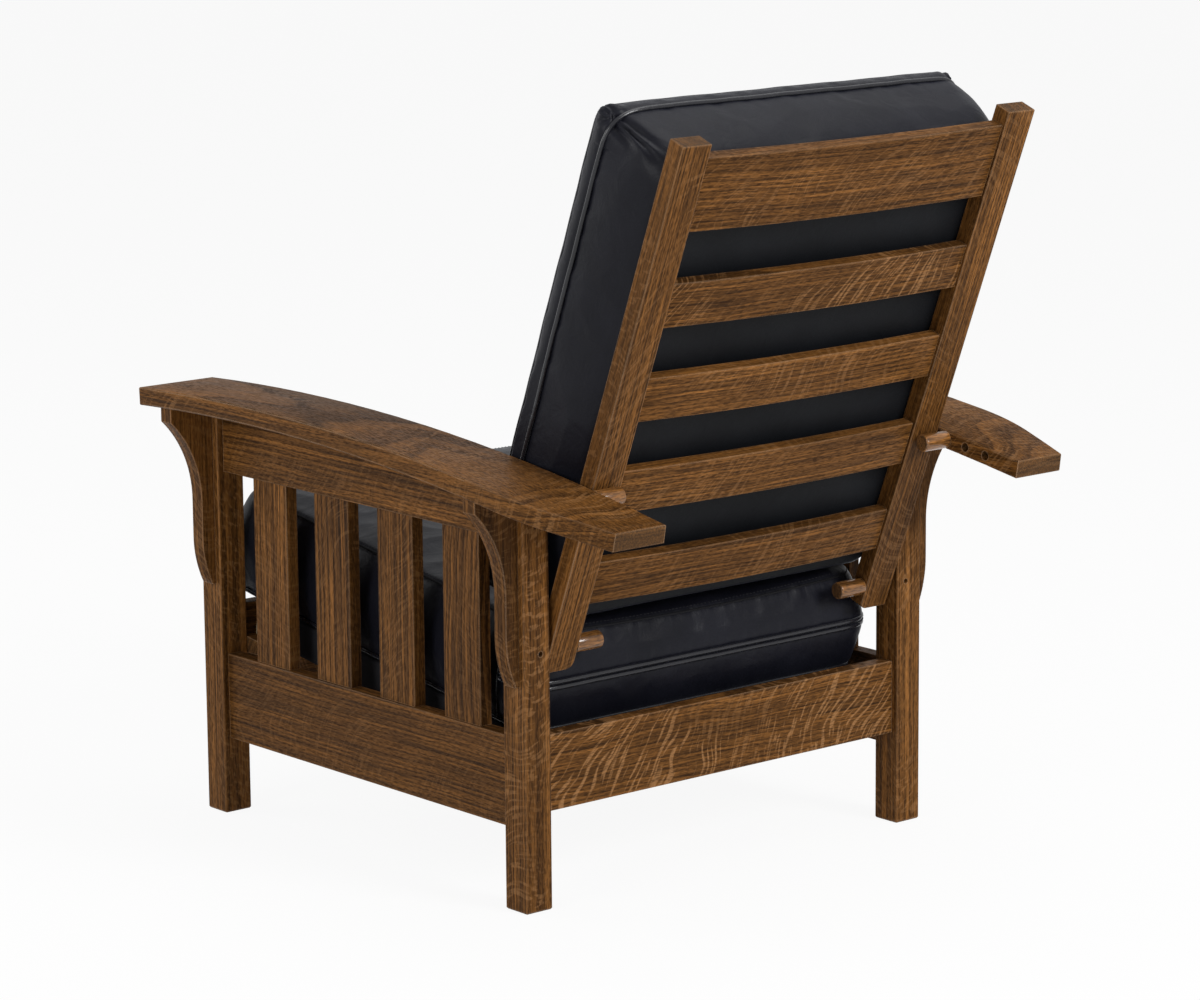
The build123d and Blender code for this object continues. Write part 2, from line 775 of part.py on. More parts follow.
def seat_top_rear_edge():
    """The seat cushion's top rear edge in the back frame's upright axes (n, w)."""
    slope, tilt = math.radians(seat_slope), math.radians(back_tilt)
    out, up = seat_cushion_rear_reach - seat_seam_inset, rest_gap + seat_foot_round + seat_boxing
    y = deck_rear_y + out * math.cos(slope) + up * math.sin(slope)
    z = deck_rear_height - out * math.sin(slope) + up * math.cos(slope)
    dy, dz = y - pivot_y, z - pivot_height
    return dy * math.cos(tilt) - dz * math.sin(tilt), dy * math.sin(tilt) + dz * math.cos(tilt)


def back_cushion():
    """Back cushion with a rounded rear, leaning on the posts and standing on the seat cushion."""
    low = seat_top_rear_edge()[1] + back_cushion_lift
    middle_w = low + back_cushion_height / 2
    rear_n = post_front_n - rest_gap

    foot = (back_rear_round_inset, back_rear_round_depth)
    profile = cushion_profile(foot, (0, back_seam_inset), back_band, (back_crown, back_crown_reach))

    def place_at(depth):
        return Plane(origin=(0, rear_n - depth, middle_w), x_dir=(1, 0, 0), z_dir=(0, -1, 0))

    half_width, half_height = back_cushion_half_width, back_cushion_height / 2
    return back_place * cushion(half_width, half_height, back_cushion_corner, profile, place_at)


def both_sides(nodes, name, piece):
    """Add a left piece and its mirror image on the right."""
    nodes[name.replace("SIDE", "left")] = piece
    nodes[name.replace("SIDE", "right")] = other_side(piece)


def base_nodes():
    """Legs, rails, slats, arms, corbels and pivot hardware."""
    nodes = {}
    for place, toward in (("front", -1), ("rear", 1)):
        both_sides(nodes, f"leg_{place}_SIDE", leg(toward))
        both_sides(nodes, f"corbel_{place}_SIDE", corbel(toward))
    both_sides(nodes, "side_rail_lower_SIDE", lower_side_rail())
    both_sides(nodes, "side_rail_upper_SIDE", upper_side_rail())
    for number, y_middle in enumerate(side_slat_middles(), start=1):
        both_sides(nodes, f"side_slat_SIDE_{number}", side_slat(y_middle))
    both_sides(nodes, "arm_SIDE", arm())
    both_sides(nodes, "pivot_pin_SIDE", pivot_pin())
    nodes["front_rail"] = end_rail((front_rail_bottom, front_rail_top), front_tenon_z, -1)
    nodes["rear_rail"] = end_rail((rear_rail_bottom, rear_rail_top), rear_tenon_z, 1)
    nodes["pivot_lock_screws"] = Compound([lock_screw(), other_side(lock_screw())])
    return nodes


def deck_nodes():
    """Cleats, deck frame, springs, pad, cover and screws."""
    nodes = {"cleat_front": cleat(-1), "cleat_rear": cleat(1)}
    nodes["deck_member_front"] = deck_end_member(-1)
    nodes["deck_member_rear"] = deck_end_member(1)
    both_sides(nodes, "deck_member_SIDE", deck_side_member())
    nodes["deck_springs"] = Compound(deck_springs())
    nodes["deck_spring_clips"] = Compound(deck_spring_clips())
    nodes["deck_pad"] = deck_pad()
    nodes["deck_cover"] = deck_cover()
    nodes["cleat_screws"] = Compound(cleat_screws_on(-1) + cleat_screws_on(1))
    nodes["deck_screws"] = Compound(deck_screws_on(-1) + deck_screws_on(1))
    return nodes


def back_nodes():
    """Posts, top rail and slats of the back frame."""
    nodes = {}
    both_sides(nodes, "back_post_SIDE", back_post())
    for number, limits in enumerate(back_board_limits()):
        nodes[f"back_slat_{number}" if number else "back_top_rail"] = back_board(*limits)
    return nodes


def loose_nodes():
    """What moves by itself: the adjusting pegs and the two cushions."""
    nodes = {"seat_cushion": seat_cushion(), "back_cushion": back_cushion()}
    both_sides(nodes, "adjusting_peg_SIDE", adjusting_peg())
    return nodes


def all_nodes():
    """Every node, moved so that the origin is the middle of the chair's footprint."""
    nodes = {**base_nodes(), **deck_nodes(), **back_nodes(), **loose_nodes()}
    boxes = [shape.bounding_box() for shape in nodes.values()]
    middle_y = (min(box.min.Y for box in boxes) + max(box.max.Y for box in boxes)) / 2
    return {name: Pos(0, -middle_y, 0) * shape for name, shape in nodes.items()}, middle_y


parts, footprint_middle_y = all_nodes()
os.makedirs("parts", exist_ok=True)
for node_name, node_shape in parts.items():
    export_step(node_shape, f"parts/{node_name}.step")
print(len(parts), "nodes, back tilt", round(back_tilt, 2), "footprint middle y", round(footprint_middle_y, 3))
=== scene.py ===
"""Looks of a mission reclining armchair: fumed oak frame with loose black leather cushions.

Metres, +Z up, the chair faces -Y, +X is the sitter's left, the origin is on the floor under the middle.
"""

import json
import math

import bpy
import numpy as np
from mathutils import Matrix, Vector, noise
from mathutils.bvhtree import BVHTree
from mathutils.kdtree import KDTree


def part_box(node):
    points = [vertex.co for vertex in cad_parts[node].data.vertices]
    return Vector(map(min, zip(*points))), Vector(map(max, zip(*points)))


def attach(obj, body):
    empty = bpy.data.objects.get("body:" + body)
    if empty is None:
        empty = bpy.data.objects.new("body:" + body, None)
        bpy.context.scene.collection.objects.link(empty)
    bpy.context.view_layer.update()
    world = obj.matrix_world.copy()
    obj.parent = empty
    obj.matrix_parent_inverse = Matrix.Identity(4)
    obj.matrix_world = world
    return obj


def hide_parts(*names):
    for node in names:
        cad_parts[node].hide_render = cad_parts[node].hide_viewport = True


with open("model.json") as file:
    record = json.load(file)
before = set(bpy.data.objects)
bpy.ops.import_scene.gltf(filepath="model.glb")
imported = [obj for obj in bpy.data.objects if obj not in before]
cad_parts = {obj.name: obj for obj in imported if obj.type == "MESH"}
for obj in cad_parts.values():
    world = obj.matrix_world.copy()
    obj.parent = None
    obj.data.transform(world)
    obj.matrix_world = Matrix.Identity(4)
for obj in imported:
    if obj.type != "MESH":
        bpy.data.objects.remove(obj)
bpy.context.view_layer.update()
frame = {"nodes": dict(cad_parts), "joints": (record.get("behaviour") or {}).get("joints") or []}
scene = bpy.context.scene
nodes = frame["nodes"]
joints = {j["name"]: j for j in frame["joints"]}

# The leaning back: its pivot line, and its directions up the posts and out of its front
pivot = np.array(joints["back_tilt"]["pos_m"])
up_back = np.array(joints["back_cushion_lift"]["axis"])
out_back = np.cross([1.0, 0.0, 0.0], up_back)

# The sloping deck: its rear top edge, and its directions to the rear and up
to_front = np.array(joints["seat_cushion_pull"]["axis"])
deck_back = -to_front
deck_up = np.cross([1.0, 0.0, 0.0], deck_back)
deck_edge = np.array([0.0, 0.179483, 0.2135])
deck_half_width = 0.296
deck_depth = 0.6187
deck_height = 0.050
deck_corner = 0.007
cover_turned = 0.012
cover_dip = 0.0042
spring_pitch = 0.105
pad_corner = 0.014
pad_dip = 0.0034

# Seat cushion, in deck directions
seat_half_width = 0.305
seat_half_depth = 0.347
seat_middle = 0.003 - seat_half_depth
seat_corner = 0.028
seat_foot = 0.0083
seat_top = 0.1493
seat_crown = 0.018
seat_reach = 0.19
seat_seam_inset = 0.005
seat_top_inset = 0.015
side_seam = -0.067
seat_lift = 0.0003
seat_side_limit = 0.3130
seat_front_limit = 2 * seat_middle - 0.0170
seat_rear_limit = 0.0060

# Back cushion, in back directions
back_half_width = 0.311
back_half_height = 0.3555
back_middle = 0.3618
back_corner = 0.046
back_front_corner = 0.010
back_rear = 0.0151
back_piping_depth = 0.126
back_front_depth = 0.1551
back_crown = 0.024
back_reach = 0.17
panel_inset = 0.030
back_side_limit = 0.3205
back_squeeze = 0.0133
back_foot_limit = 0.0051
back_head_limit = 0.7238

# Filling of the covers, the groove at their seams, and the spacing of the points along a seam
swell_pressure = 4.0
swell_cap = 0.022
swell_frames = 20
groove_depth = 0.0014
groove_width = 0.0055
seam_step = 0.006

# Studio: the floor, how bright it and the world look, and how much light the world gives
floor_half = 45.0
floor_glow = 0.92
world_light = 0.32
world_seen = 0.38
chair_middle = (0, 0, 0.5)

# Camera of the photo
camera_place = (3.78806018, 4.47126068, 1.6371895)
camera_azimuth, camera_elevation, camera_roll = 229.89214825, -11.26382924, -0.49712368
camera_lens = 129.903


# node building
class Net:
    """Short calls for building one node tree."""

    def __init__(self, tree):
        self.tree = tree

    def node(self, kind, inputs=(), **settings):
        made = self.tree.nodes.new(kind)
        for key, value in settings.items():
            setattr(made, key, value)
        return self.fill(made, dict(inputs))

    def fill(self, made, inputs):
        """Links or sets a node's inputs."""
        for socket, value in inputs.items():
            self.put(made.inputs[socket], value)
        return made

    def put(self, socket, value):
        if isinstance(value, bpy.types.NodeSocket):
            self.tree.links.new(value, socket)
        elif value is not None:
            socket.default_value = value

    def math(self, operation, a, b=None, clamp=False):
        made = self.node("ShaderNodeMath", operation=operation, use_clamp=clamp)
        self.put(made.inputs[0], a)
        self.put(made.inputs[1], b)
        return made.outputs[0]

    def plus(self, a, b, clamp=False):
        return self.math("ADD", a, b, clamp=clamp)

    def minus(self, a, b):
        return self.math("SUBTRACT", a, b)

    def times(self, a, b, clamp=False):
        return self.math("MULTIPLY", a, b, clamp=clamp)

    def vector(self, operation, a, b=None):
        made = self.node("ShaderNodeVectorMath", operation=operation)
        self.put(made.inputs[0], a)
        self.put(made.inputs[1], b)
        return made.outputs["Value"] if operation == "DOT_PRODUCT" else made.outputs[0]

    def combine(self, x, y, z):
        return self.node("ShaderNodeCombineXYZ", {0: x, 1: y, 2: z}).outputs[0]

    def noise(self, vector, scale=1.0, detail=2.0, rough=0.5, distortion=0.0):
        values = {"Vector": vector, "Scale": scale, "Detail": detail, "Roughness": rough}
        values["Distortion"] = distortion
        return self.node("ShaderNodeTexNoise", values).outputs

    def ramp(self, value, stops, smooth=False):
        made = self.node("ShaderNodeValToRGB", {0: value})
        made.color_ramp.interpolation = "EASE" if smooth else "LINEAR"
        elements = made.color_ramp.elements
        while len(elements) < len(stops):
            elements.new(0.5)
        for element, (place, grey) in zip(elements, stops):
            element.position = place
            element.color = (grey, grey, grey, 1)
        return made.outputs[0]

    def mix(self, share, a, b, kind="MIX"):
        made = self.node("ShaderNodeMix", data_type="RGBA", blend_type=kind)
        for index, value in ((0, share), (6, a), (7, b)):
            if isinstance(value, tuple) and len(value) == 3:
                value = (*value, 1.0)
            self.put(made.inputs[index], value)
        return made.outputs[2]

    def scaled(self, parts, factors):
        """A vector of three values, each times its factor."""
        return self.combine(*(self.times(part, factor) for part, factor in zip(parts, factors)))

    def bump(self, strength, distance, height, normal=None):
        values = {"Strength": strength, "Distance": distance, "Height": height, "Normal": normal}
        return self.node("ShaderNodeBump", values).outputs[0]

    def grey(self, value):
        return self.node("ShaderNodeCombineColor", {0: value, 1: value, 2: value}).outputs[0]


def new_material(name):
    made = bpy.data.materials.new(name)
    made.use_nodes = True
    return made, Net(made.node_tree), made.node_tree.nodes["Principled BSDF"]


# Oak: its rays climb across the grain by a rise for each run along it; then its gloss and its colours
ray_rise, ray_run = 3.0, 4.0
wood_gloss = 0.07
late_wood, early_wood = (0.160, 0.0665, 0.0158), (0.034, 0.0138, 0.0034)
ray_colour, pore_colour = (0.330, 0.165, 0.065), (0.016, 0.0066, 0.0026)
# The pale arris colour stands for wear and for a painted highlight along the edges.
end_colour, wear_and_highlight_colour = (0.052, 0.034, 0.020), (0.400, 0.250, 0.145)


def oak_group():
    """Oak as a solid: rings round a pith line, pore rows, ray flecks, end grain, and arrises made lighter as wear and
    as a painted highlight.
    """
    tree = bpy.data.node_groups.new("oak_solid", "ShaderNodeTree")
    numbers = ("Pith across", "Pith third", "Pitch", "Wave", "Flecks", "Contrast", "Tone", "Seed")
    sockets = [(name, "INPUT", "Vector") for name in ("Along", "Across")]
    sockets += [(name, "INPUT", "Float") for name in numbers]
    sockets += [("Color", "OUTPUT", "Color"), ("Roughness", "OUTPUT", "Float"), ("Normal", "OUTPUT", "Vector")]
    for name, way, kind in sockets:
        tree.interface.new_socket(name=name, in_out=way, socket_type=f"NodeSocket{kind}")
    n = Net(tree)
    given = n.node("NodeGroupInput").outputs
    place = n.node("ShaderNodeTexCoord").outputs
    along, across = given["Along"], given["Across"]
    third = n.vector("CROSS_PRODUCT", along, across)
    seed = given["Seed"]
    u = n.vector("DOT_PRODUCT", place["Object"], across)
    v = n.vector("DOT_PRODUCT", place["Object"], third)
    w = n.plus(n.vector("DOT_PRODUCT", place["Object"], along), seed)

    place_in_board = (u, v, w)
    bend = n.noise(n.scaled(place_in_board, (5.0, 5.0, 2.6)))
    bend_parts = n.node("ShaderNodeSeparateColor", {0: bend[1]}).outputs
    wobble = n.noise(n.scaled(place_in_board, (22.0, 22.0, 9.0)))
    side = n.times(n.minus(bend_parts[0], 0.5), given["Wave"])
    lift = n.times(n.minus(bend_parts[1], 0.5), given["Wave"])
    small = n.times(n.minus(wobble[0], 0.5), n.times(given["Wave"], 0.12))
    from_u = n.plus(n.minus(u, given["Pith across"]), n.plus(side, small))
    from_v = n.plus(n.minus(v, given["Pith third"]), lift)
    radius = n.math("SQRT", n.plus(n.times(from_u, from_u), n.times(from_v, from_v)))
    uneven = n.noise(n.combine(n.times(radius, 75.0), seed, 0.0), detail=1.0)[0]
    rings = n.plus(n.math("DIVIDE", radius, given["Pitch"]), n.times(uneven, 2.6))
    ring = n.math("FRACT", rings)
    early = n.ramp(ring, [(0.0, 1.0), (0.22, 0.72), (0.5, 0.18), (0.9, 0.0), (1.0, 1.0)])

    fine = n.noise(n.scaled(place_in_board, (330.0, 330.0, 9.0)), detail=3.0, rough=0.6)[0]
    bands = n.noise(n.combine(n.times(rings, 1.1), seed, n.times(w, 1.4)), detail=2.0)[0]
    pore_noise = n.noise(n.scaled(place_in_board, (620.0, 620.0, 95.0)), detail=1.0)[0]
    pore = n.ramp(pore_noise, [(0.0, 0.0), (0.46, 0.0), (0.60, 1.0), (1.0, 1.0)])
    pore_rows = n.times(pore, n.plus(n.times(early, 0.45), 0.55))
    angle = n.math("ARCTAN2", from_v, from_u)
    swing = n.times(n.minus(bend_parts[2], 0.5), 0.16)
    slant = math.hypot(ray_run, ray_rise)
    run_share, rise_share = ray_run / slant, ray_rise / slant
    across_rays = n.plus(n.times(w, run_share), n.times(radius, -rise_share))
    over = n.plus(across_rays, swing)
    down = n.plus(n.times(w, rise_share), n.times(radius, run_share))
    ray_noise = n.noise(n.scaled((over, down, angle), (230.0, 13.0, 14.0)), detail=1.0, rough=0.5)[0]
    ray = n.ramp(ray_noise, [(0.0, 0.0), (0.53, 0.0), (0.62, 1.0), (1.0, 1.0)])
    patch_noise = n.noise(n.scaled(place_in_board, (9.0, 9.0, 4.0)))[0]
    patch = n.ramp(patch_noise, [(0.0, 0.05), (0.38, 0.15), (0.56, 1.0), (1.0, 1.0)])
    flecks = n.times(n.times(ray, patch), given["Flecks"], clamp=True)
    broad = n.noise(n.scaled(place_in_board, (7.0, 7.0, 1.6)), detail=3.0)[0]

    early_share = n.times(early, given["Contrast"], clamp=True)
    tone = n.mix(early_share, late_wood, early_wood)
    fine_level = n.plus(n.times(fine, 2.7), -0.36)
    band_level = n.plus(n.times(bands, 2.0), -0.02)
    streak = n.times(fine_level, band_level)
    tone = n.mix(1.0, tone, n.grey(streak), "MULTIPLY")
    large = n.plus(n.times(broad, 1.1), 0.45)
    tone = n.mix(1.0, tone, n.grey(n.times(large, given["Tone"])), "MULTIPLY")
    tone = n.mix(n.times(flecks, 0.75), tone, ray_colour)
    tone = n.mix(n.times(pore_rows, 0.70), tone, pore_colour)
    facing = n.math("ABSOLUTE", n.vector("DOT_PRODUCT", place["Normal"], along))
    end = n.ramp(facing, [(0.0, 0.0), (0.72, 0.0), (0.93, 1.0), (1.0, 1.0)])
    tone = n.mix(n.times(end, 0.45), tone, end_colour)
    # Arrises lighter: partly wear, partly a painted highlight where the edges would catch the light.
    soft_edge = n.node("ShaderNodeBevel", {"Radius": 0.0024}, samples=4).outputs[0]
    true_normal = n.node("ShaderNodeNewGeometry").outputs["Normal"]
    turned = n.minus(1.0, n.vector("DOT_PRODUCT", soft_edge, true_normal))
    arris = n.ramp(turned, [(0.0, 0.0), (0.010, 0.0), (0.11, 1.0), (1.0, 1.0)])
    rubbed_and_highlit_edge = n.times(arris, n.plus(n.times(broad, 1.2), 0.05))
    tone = n.mix(n.times(rubbed_and_highlit_edge, 0.85), tone, wear_and_highlight_colour)

    rough = n.plus(n.times(pore_rows, 0.22), n.plus(n.times(fine, 0.16), 0.38))
    height = n.minus(n.times(fine, 0.35), n.times(pore_rows, 0.8))
    height = n.minus(height, n.times(early, 0.22))
    n.node("NodeGroupOutput", {"Color": tone, "Roughness": rough, "Normal": n.bump(0.55, 0.00028, height)})
    return tree


oak_tree = oak_group()


def oak(name, along, across, pith, seed, pitch=0.0036, wave=0.010, flecks=0.35, contrast=0.62, tone=1.0):
    """Oak for pieces whose grain runs along one direction, with the pith line at a place across it."""
    made, n, shader = new_material(name)
    group = n.fill(n.node("ShaderNodeGroup", node_tree=oak_tree), {
        "Along": tuple(along), "Across": tuple(across), "Pith across": pith[0], "Pith third": pith[1],
        "Pitch": pitch, "Wave": wave, "Flecks": flecks, "Contrast": contrast, "Tone": tone, "Seed": seed,
    }).outputs
    n.fill(shader, {"Base Color": group["Color"], "Roughness": group["Roughness"], "Normal": group["Normal"]})
    n.fill(shader, {"Specular IOR Level": wood_gloss})
    return made


def leather(name, rough, base, spread, grain=0.00016):
    """Black leather: pebbled grain, soft creases, and puckers that run out of each seam."""
    made, n, shader = new_material(name)
    place = n.node("ShaderNodeTexCoord").outputs["Object"]
    cells = n.node("ShaderNodeTexVoronoi", {"Vector": place, "Scale": 620.0}, feature="DISTANCE_TO_EDGE")
    pebble = n.ramp(cells.outputs[0], [(0.0, 0.0), (0.06, 0.35), (0.3, 1.0), (1.0, 1.0)], smooth=True)
    fine = n.noise(place, 1900.0, 2.0)[0]
    crease = n.noise(place, 34.0, 5.0, 0.55, 0.8)[0]
    broad = n.noise(place, 9.0, 3.0)[0]
    away = n.node("ShaderNodeAttribute", attribute_name="seam_distance").outputs["Fac"]
    near = n.math("POWER", 2.718, n.times(away, -110.0))
    run = n.node("ShaderNodeAttribute", attribute_name="seam_run").outputs["Fac"]
    pull = n.noise(n.combine(n.times(run, 95.0), n.times(away, 9.0), 0.0), 1.0, 2.0)[0]
    puckers = n.times(n.minus(pull, 0.5), near)
    height = n.plus(n.times(pebble, 0.5), n.times(fine, 0.2))
    creased = n.bump(0.55, 0.0018, crease, n.bump(0.5, grain, height))
    relief = n.bump(0.6, 0.0020, puckers, creased)
    dark = tuple(x * 0.72 for x in base)
    pale = tuple(x * 1.45 + 0.002 for x in base)
    tone = n.mix(n.ramp(broad, [(0.0, 0.0), (0.35, 0.2), (0.7, 1.0)]), dark, pale)
    # Painted shade: darker in the hollows between the pebbles of the grain.
    tone = n.mix(n.times(n.minus(1.0, pebble), 0.5), tone, tuple(x * 0.4 for x in base))
    pebble_level = n.plus(rough - spread / 2, n.times(pebble, -0.05))
    level = n.plus(n.times(crease, spread), pebble_level)
    n.fill(shader, {"Base Color": tone, "Roughness": level, "Normal": relief, "Specular IOR Level": 0.13})
    n.fill(shader, {"Sheen Weight": 0.03, "Sheen Roughness": 0.4, "Sheen Tint": (0.62, 0.72, 1.0, 1.0)})
    return made


def woven(name, pale, dark, threads, bump):
    """Plain weave of two thread directions, on all three planes."""
    made, n, shader = new_material(name)
    place = n.node("ShaderNodeTexCoord").outputs["Object"]
    part = n.node("ShaderNodeSeparateXYZ", {0: place}).outputs
    warp = n.math("SINE", n.times(part[0], threads * 2 * math.pi))
    weft = n.math("SINE", n.times(n.plus(part[1], part[2]), threads * 2 * math.pi))
    weave = n.times(n.times(warp, weft), 0.5)
    slub = n.noise(place, 260.0, 3.0)[0]
    share = n.plus(n.plus(weave, 0.25), n.times(slub, 0.5), clamp=True)
    rough = n.plus(n.times(slub, 0.2), 0.75)
    n.fill(shader, {"Base Color": n.mix(share, dark, pale), "Roughness": rough, "Normal": n.bump(0.6, bump, share)})
    n.fill(shader, {"Specular IOR Level": 0.15})
    return made


def felt():
    """Pressed grey-brown felt with loose fibres."""
    made, n, shader = new_material("felt_pad")
    place = n.node("ShaderNodeTexCoord").outputs["Object"]
    fibre = n.noise(place, 420.0, 6.0, 0.75, 2.0)[0]
    cloud = n.noise(place, 22.0, 3.0)[0]
    share = n.plus(n.times(fibre, 0.7), n.times(cloud, 0.4), clamp=True)
    tone = n.mix(share, (0.20, 0.185, 0.165), (0.42, 0.40, 0.37))
    rough = n.plus(n.times(cloud, 0.1), 0.85)
    n.fill(shader, {"Base Color": tone, "Roughness": rough, "Normal": n.bump(0.8, 0.0006, fibre)})
    return made


def poplar():
    """Pale raw boards with greenish heart streaks."""
    made, n, shader = new_material("raw_poplar")
    place = n.node("ShaderNodeTexCoord").outputs["Object"]
    part = n.node("ShaderNodeSeparateXYZ", {0: place}).outputs
    stretched = n.scaled(part[:3], (3.0, 60.0, 60.0))
    streak = n.noise(stretched, 1.0, 4.0, 0.6)[0]
    heart = n.ramp(n.noise(stretched, 0.2, 2.0)[0], [(0.0, 0.0), (0.5, 0.1), (0.7, 1.0)])
    tone = n.mix(streak, (0.36, 0.26, 0.155), (0.60, 0.48, 0.32))
    tone = n.mix(n.times(heart, 0.4), tone, (0.26, 0.27, 0.15))
    rough = n.plus(n.times(streak, 0.2), 0.55)
    n.fill(shader, {"Base Color": tone, "Roughness": rough, "Normal": n.bump(0.4, 0.0003, streak)})
    return made


def steel(name, base, rough, wear):
    """Drawn or blackened steel with scuffs."""
    made, n, shader = new_material(name)
    place = n.node("ShaderNodeTexCoord").outputs["Object"]
    scuff = n.noise(place, 320.0, 5.0, 0.7, 1.0)[0]
    stain = n.noise(place, 45.0, 3.0)[0]
    tone = n.mix(n.ramp(scuff, [(0.0, 0.0), (0.5, 0.15), (0.75, 1.0)]), base, tuple(min(1.0, x * wear) for x in base))
    tone = n.mix(n.times(stain, 0.4), tone, tuple(x * 0.5 for x in base))
    rough = n.plus(n.times(scuff, 0.25), rough)
    n.fill(shader, {"Base Color": tone, "Roughness": rough, "Normal": n.bump(0.3, 0.0001, scuff), "Metallic": 1.0})
    return made


# wood and metal of the CAD nodes
X, Y, Z = (1.0, 0.0, 0.0), (0.0, 1.0, 0.0), (0.0, 0.0, 1.0)
post_up = tuple(up_back)
from_x = (-1.0, 0.0, 0.0)
# Each piece's oak: its grain's direction and one across it, the pith, the seed, the rings' pitch and wave,
# the ray flecks, the contrast of the rings and the tone
grain = {
    "leg_rear_left": oak("oak_leg_rl", Z, X, (0.42, 0.02), 3.1, 0.0059, 0.012, 0.55, 0.60),
    "leg_rear_right": oak("oak_leg_rr", Z, X, (-0.23, 0.31), 5.7, 0.0065, 0.012, 0.45, 0.60),
    "leg_front_left": oak("oak_leg_fl", Z, X, (0.30, -0.30), 8.2, 0.0063, 0.010, 0.4, 0.60),
    "leg_front_right": oak("oak_leg_fr", Z, X, (-0.41, -0.30), 9.9, 0.0068, 0.010, 0.4, 0.60),
    "corbel_front_left": oak("oak_corbel_fl", Z, X, (0.39, 0.10), 12.3, 0.0072, 0.014, 0.3, 0.60, 0.78),
    "corbel_rear_left": oak("oak_corbel_rl", Z, X, (0.37, 0.60), 14.4, 0.0076, 0.014, 0.3, 0.60, 0.78),
    "corbel_front_right": oak("oak_corbel_fr", Z, X, (-0.39, 0.10), 15.9, 0.0072, 0.014, 0.3, 0.60, 0.78),
    "corbel_rear_right": oak("oak_corbel_rr", Z, X, (-0.39, 0.60), 17.1, 0.0072, 0.014, 0.3, 0.60, 0.78),
    "side_rail_lower_left": oak("oak_rail_ll", Y, Z, (-0.28, 0.02), 21.0, 0.0057, 0.016, 0.18, 0.60, 0.80),
    "side_rail_upper_left": oak("oak_rail_ul", Y, Z, (0.16, 0.10), 22.6, 0.0065, 0.016, 0.22, 0.60),
    "side_rail_lower_right": oak("oak_rail_lr", Y, Z, (-0.30, -0.02), 24.1, 0.0059, 0.016, 0.35, 0.52, 0.95),
    "side_rail_upper_right": oak("oak_rail_ur", Y, Z, (0.14, -0.10), 25.8, 0.0065, 0.016, 0.35, 0.55),
    "arm_left": oak("oak_arm_l", Y, X, (0.40, 0.42), 28.3, 0.0091, 0.050, 0.55, 0.55, 0.86),
    "arm_right": oak("oak_arm_r", Y, X, (-0.42, 0.40), 30.2, 0.0091, 0.050, 0.55, 0.55, 0.96),
    "rear_rail": oak("oak_rail_rear", from_x, Z, (-0.10, 0.16), 33.4, 0.0070, 0.060, 1.0, 0.66, 0.95),
    "front_rail": oak("oak_rail_front", X, Z, (-0.16, -0.10), 35.5, 0.0068, 0.026, 0.7, 0.55),
    "back_post_left": oak("oak_post_l", post_up, X, (0.52, 0.10), 38.8, 0.0057, 0.014, 0.30, 0.62, 0.92),
    "back_post_right": oak("oak_post_r", post_up, X, (-0.50, 0.12), 40.1, 0.0059, 0.014, 0.30, 0.62, 0.98),
    "back_top_rail": oak("oak_top_rail", from_x, post_up, (0.50, -0.03), 43.3, 0.0061, 0.020, 0.35, 0.56, 0.90),
}
slat_looks = [
    ((0.62, 0.20), 0.0068, 0.018, 0.20, 0.66, 1.0),
    ((-0.20, 0.02), 0.0110, 0.014, 0.25, 0.95, 1.05),
    ((-0.10, 0.03), 0.0070, 0.014, 0.30, 0.66, 1.04),
    ((0.17, 0.10), 0.0085, 0.044, 0.20, 0.84, 0.98),
]
for side in ("left", "right"):
    for i, (pith, pitch, wave, flecks, contrast, tone) in enumerate(slat_looks):
        name = f"side_slat_{side}_{i + 1}"
        middle = (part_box(name)[0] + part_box(name)[1]) / 2
        place = (pith[0] + middle.y, pith[1] - middle.x)
        seed = 50.0 + 3.7 * i + (20.0 if side == "right" else 0.0)
        grain[name] = oak(f"oak_{name}", Z, Y, place, seed, pitch, wave, flecks, contrast, tone)
back_slat_looks = [
    (0.0064, 0.026, 0.90, 0.60, 0.78), (0.0070, 0.018, 0.45, 0.62, 1.08),
    (0.0062, 0.020, 0.35, 0.52, 1.04), (0.0072, 0.024, 0.30, 0.62, 0.82),
]
for i, (pitch, wave, flecks, contrast, tone) in enumerate(back_slat_looks):
    name, place, seed = f"back_slat_{i + 1}", (-0.15 - 0.09 * i, -0.05), 80.0 + 4.1 * i
    grain[name] = oak(f"oak_{name}", from_x, post_up, place, seed, pitch, wave, flecks, contrast, tone)
for side, seed in (("left", 100.0), ("right", 104.0)):
    peg = oak(f"oak_pegs_{side}", X, Z, (0.32, 0.02), seed, 0.0028, 0.010, 0.2, 0.5, 1.35)
    grain[f"adjusting_peg_{side}"] = peg
    grain[f"pivot_pin_{side}"] = peg
    varnish = peg.node_tree.nodes["Principled BSDF"].inputs
    varnish["Coat Weight"].default_value = 0.85
    varnish["Coat Roughness"].default_value = 0.16

grain["cleat_front"] = grain["front_rail"]
grain["cleat_rear"] = grain["rear_rail"]
spring_steel = steel("oiled_spring_steel", (0.34, 0.34, 0.35), 0.28, 1.6)
screw_steel = steel("blackened_steel", (0.09, 0.085, 0.08), 0.38, 3.0)
raw_boards = poplar()
hides = leather("black_leather_grain", 0.40, (0.0058, 0.0060, 0.0100), 0.16)
matte_hide = leather("black_leather_matte", 0.60, (0.0036, 0.0042, 0.0056), 0.10)
piping_hide = leather("black_leather_piping", 0.24, (0.0080, 0.0082, 0.0115), 0.06, 0.00008)
piping_hide.node_tree.nodes["Principled BSDF"].inputs["Specular IOR Level"].default_value = 0.45
thread = woven("waxed_thread", (0.045, 0.045, 0.05), (0.012, 0.012, 0.014), 1500.0, 0.0001)
tape = woven("zip_tape", (0.012, 0.012, 0.014), (0.004, 0.004, 0.005), 1200.0, 0.0001)
cover_cloth = woven("deck_cover_weave", (0.026, 0.026, 0.030), (0.008, 0.008, 0.010), 900.0, 0.0002)
pad_felt = felt()


def set_material(piece, *materials):
    piece.data.materials.clear()
    for made in materials:
        piece.data.materials.append(made)


oak_arris, board_arris = 0.0011, 0.0008


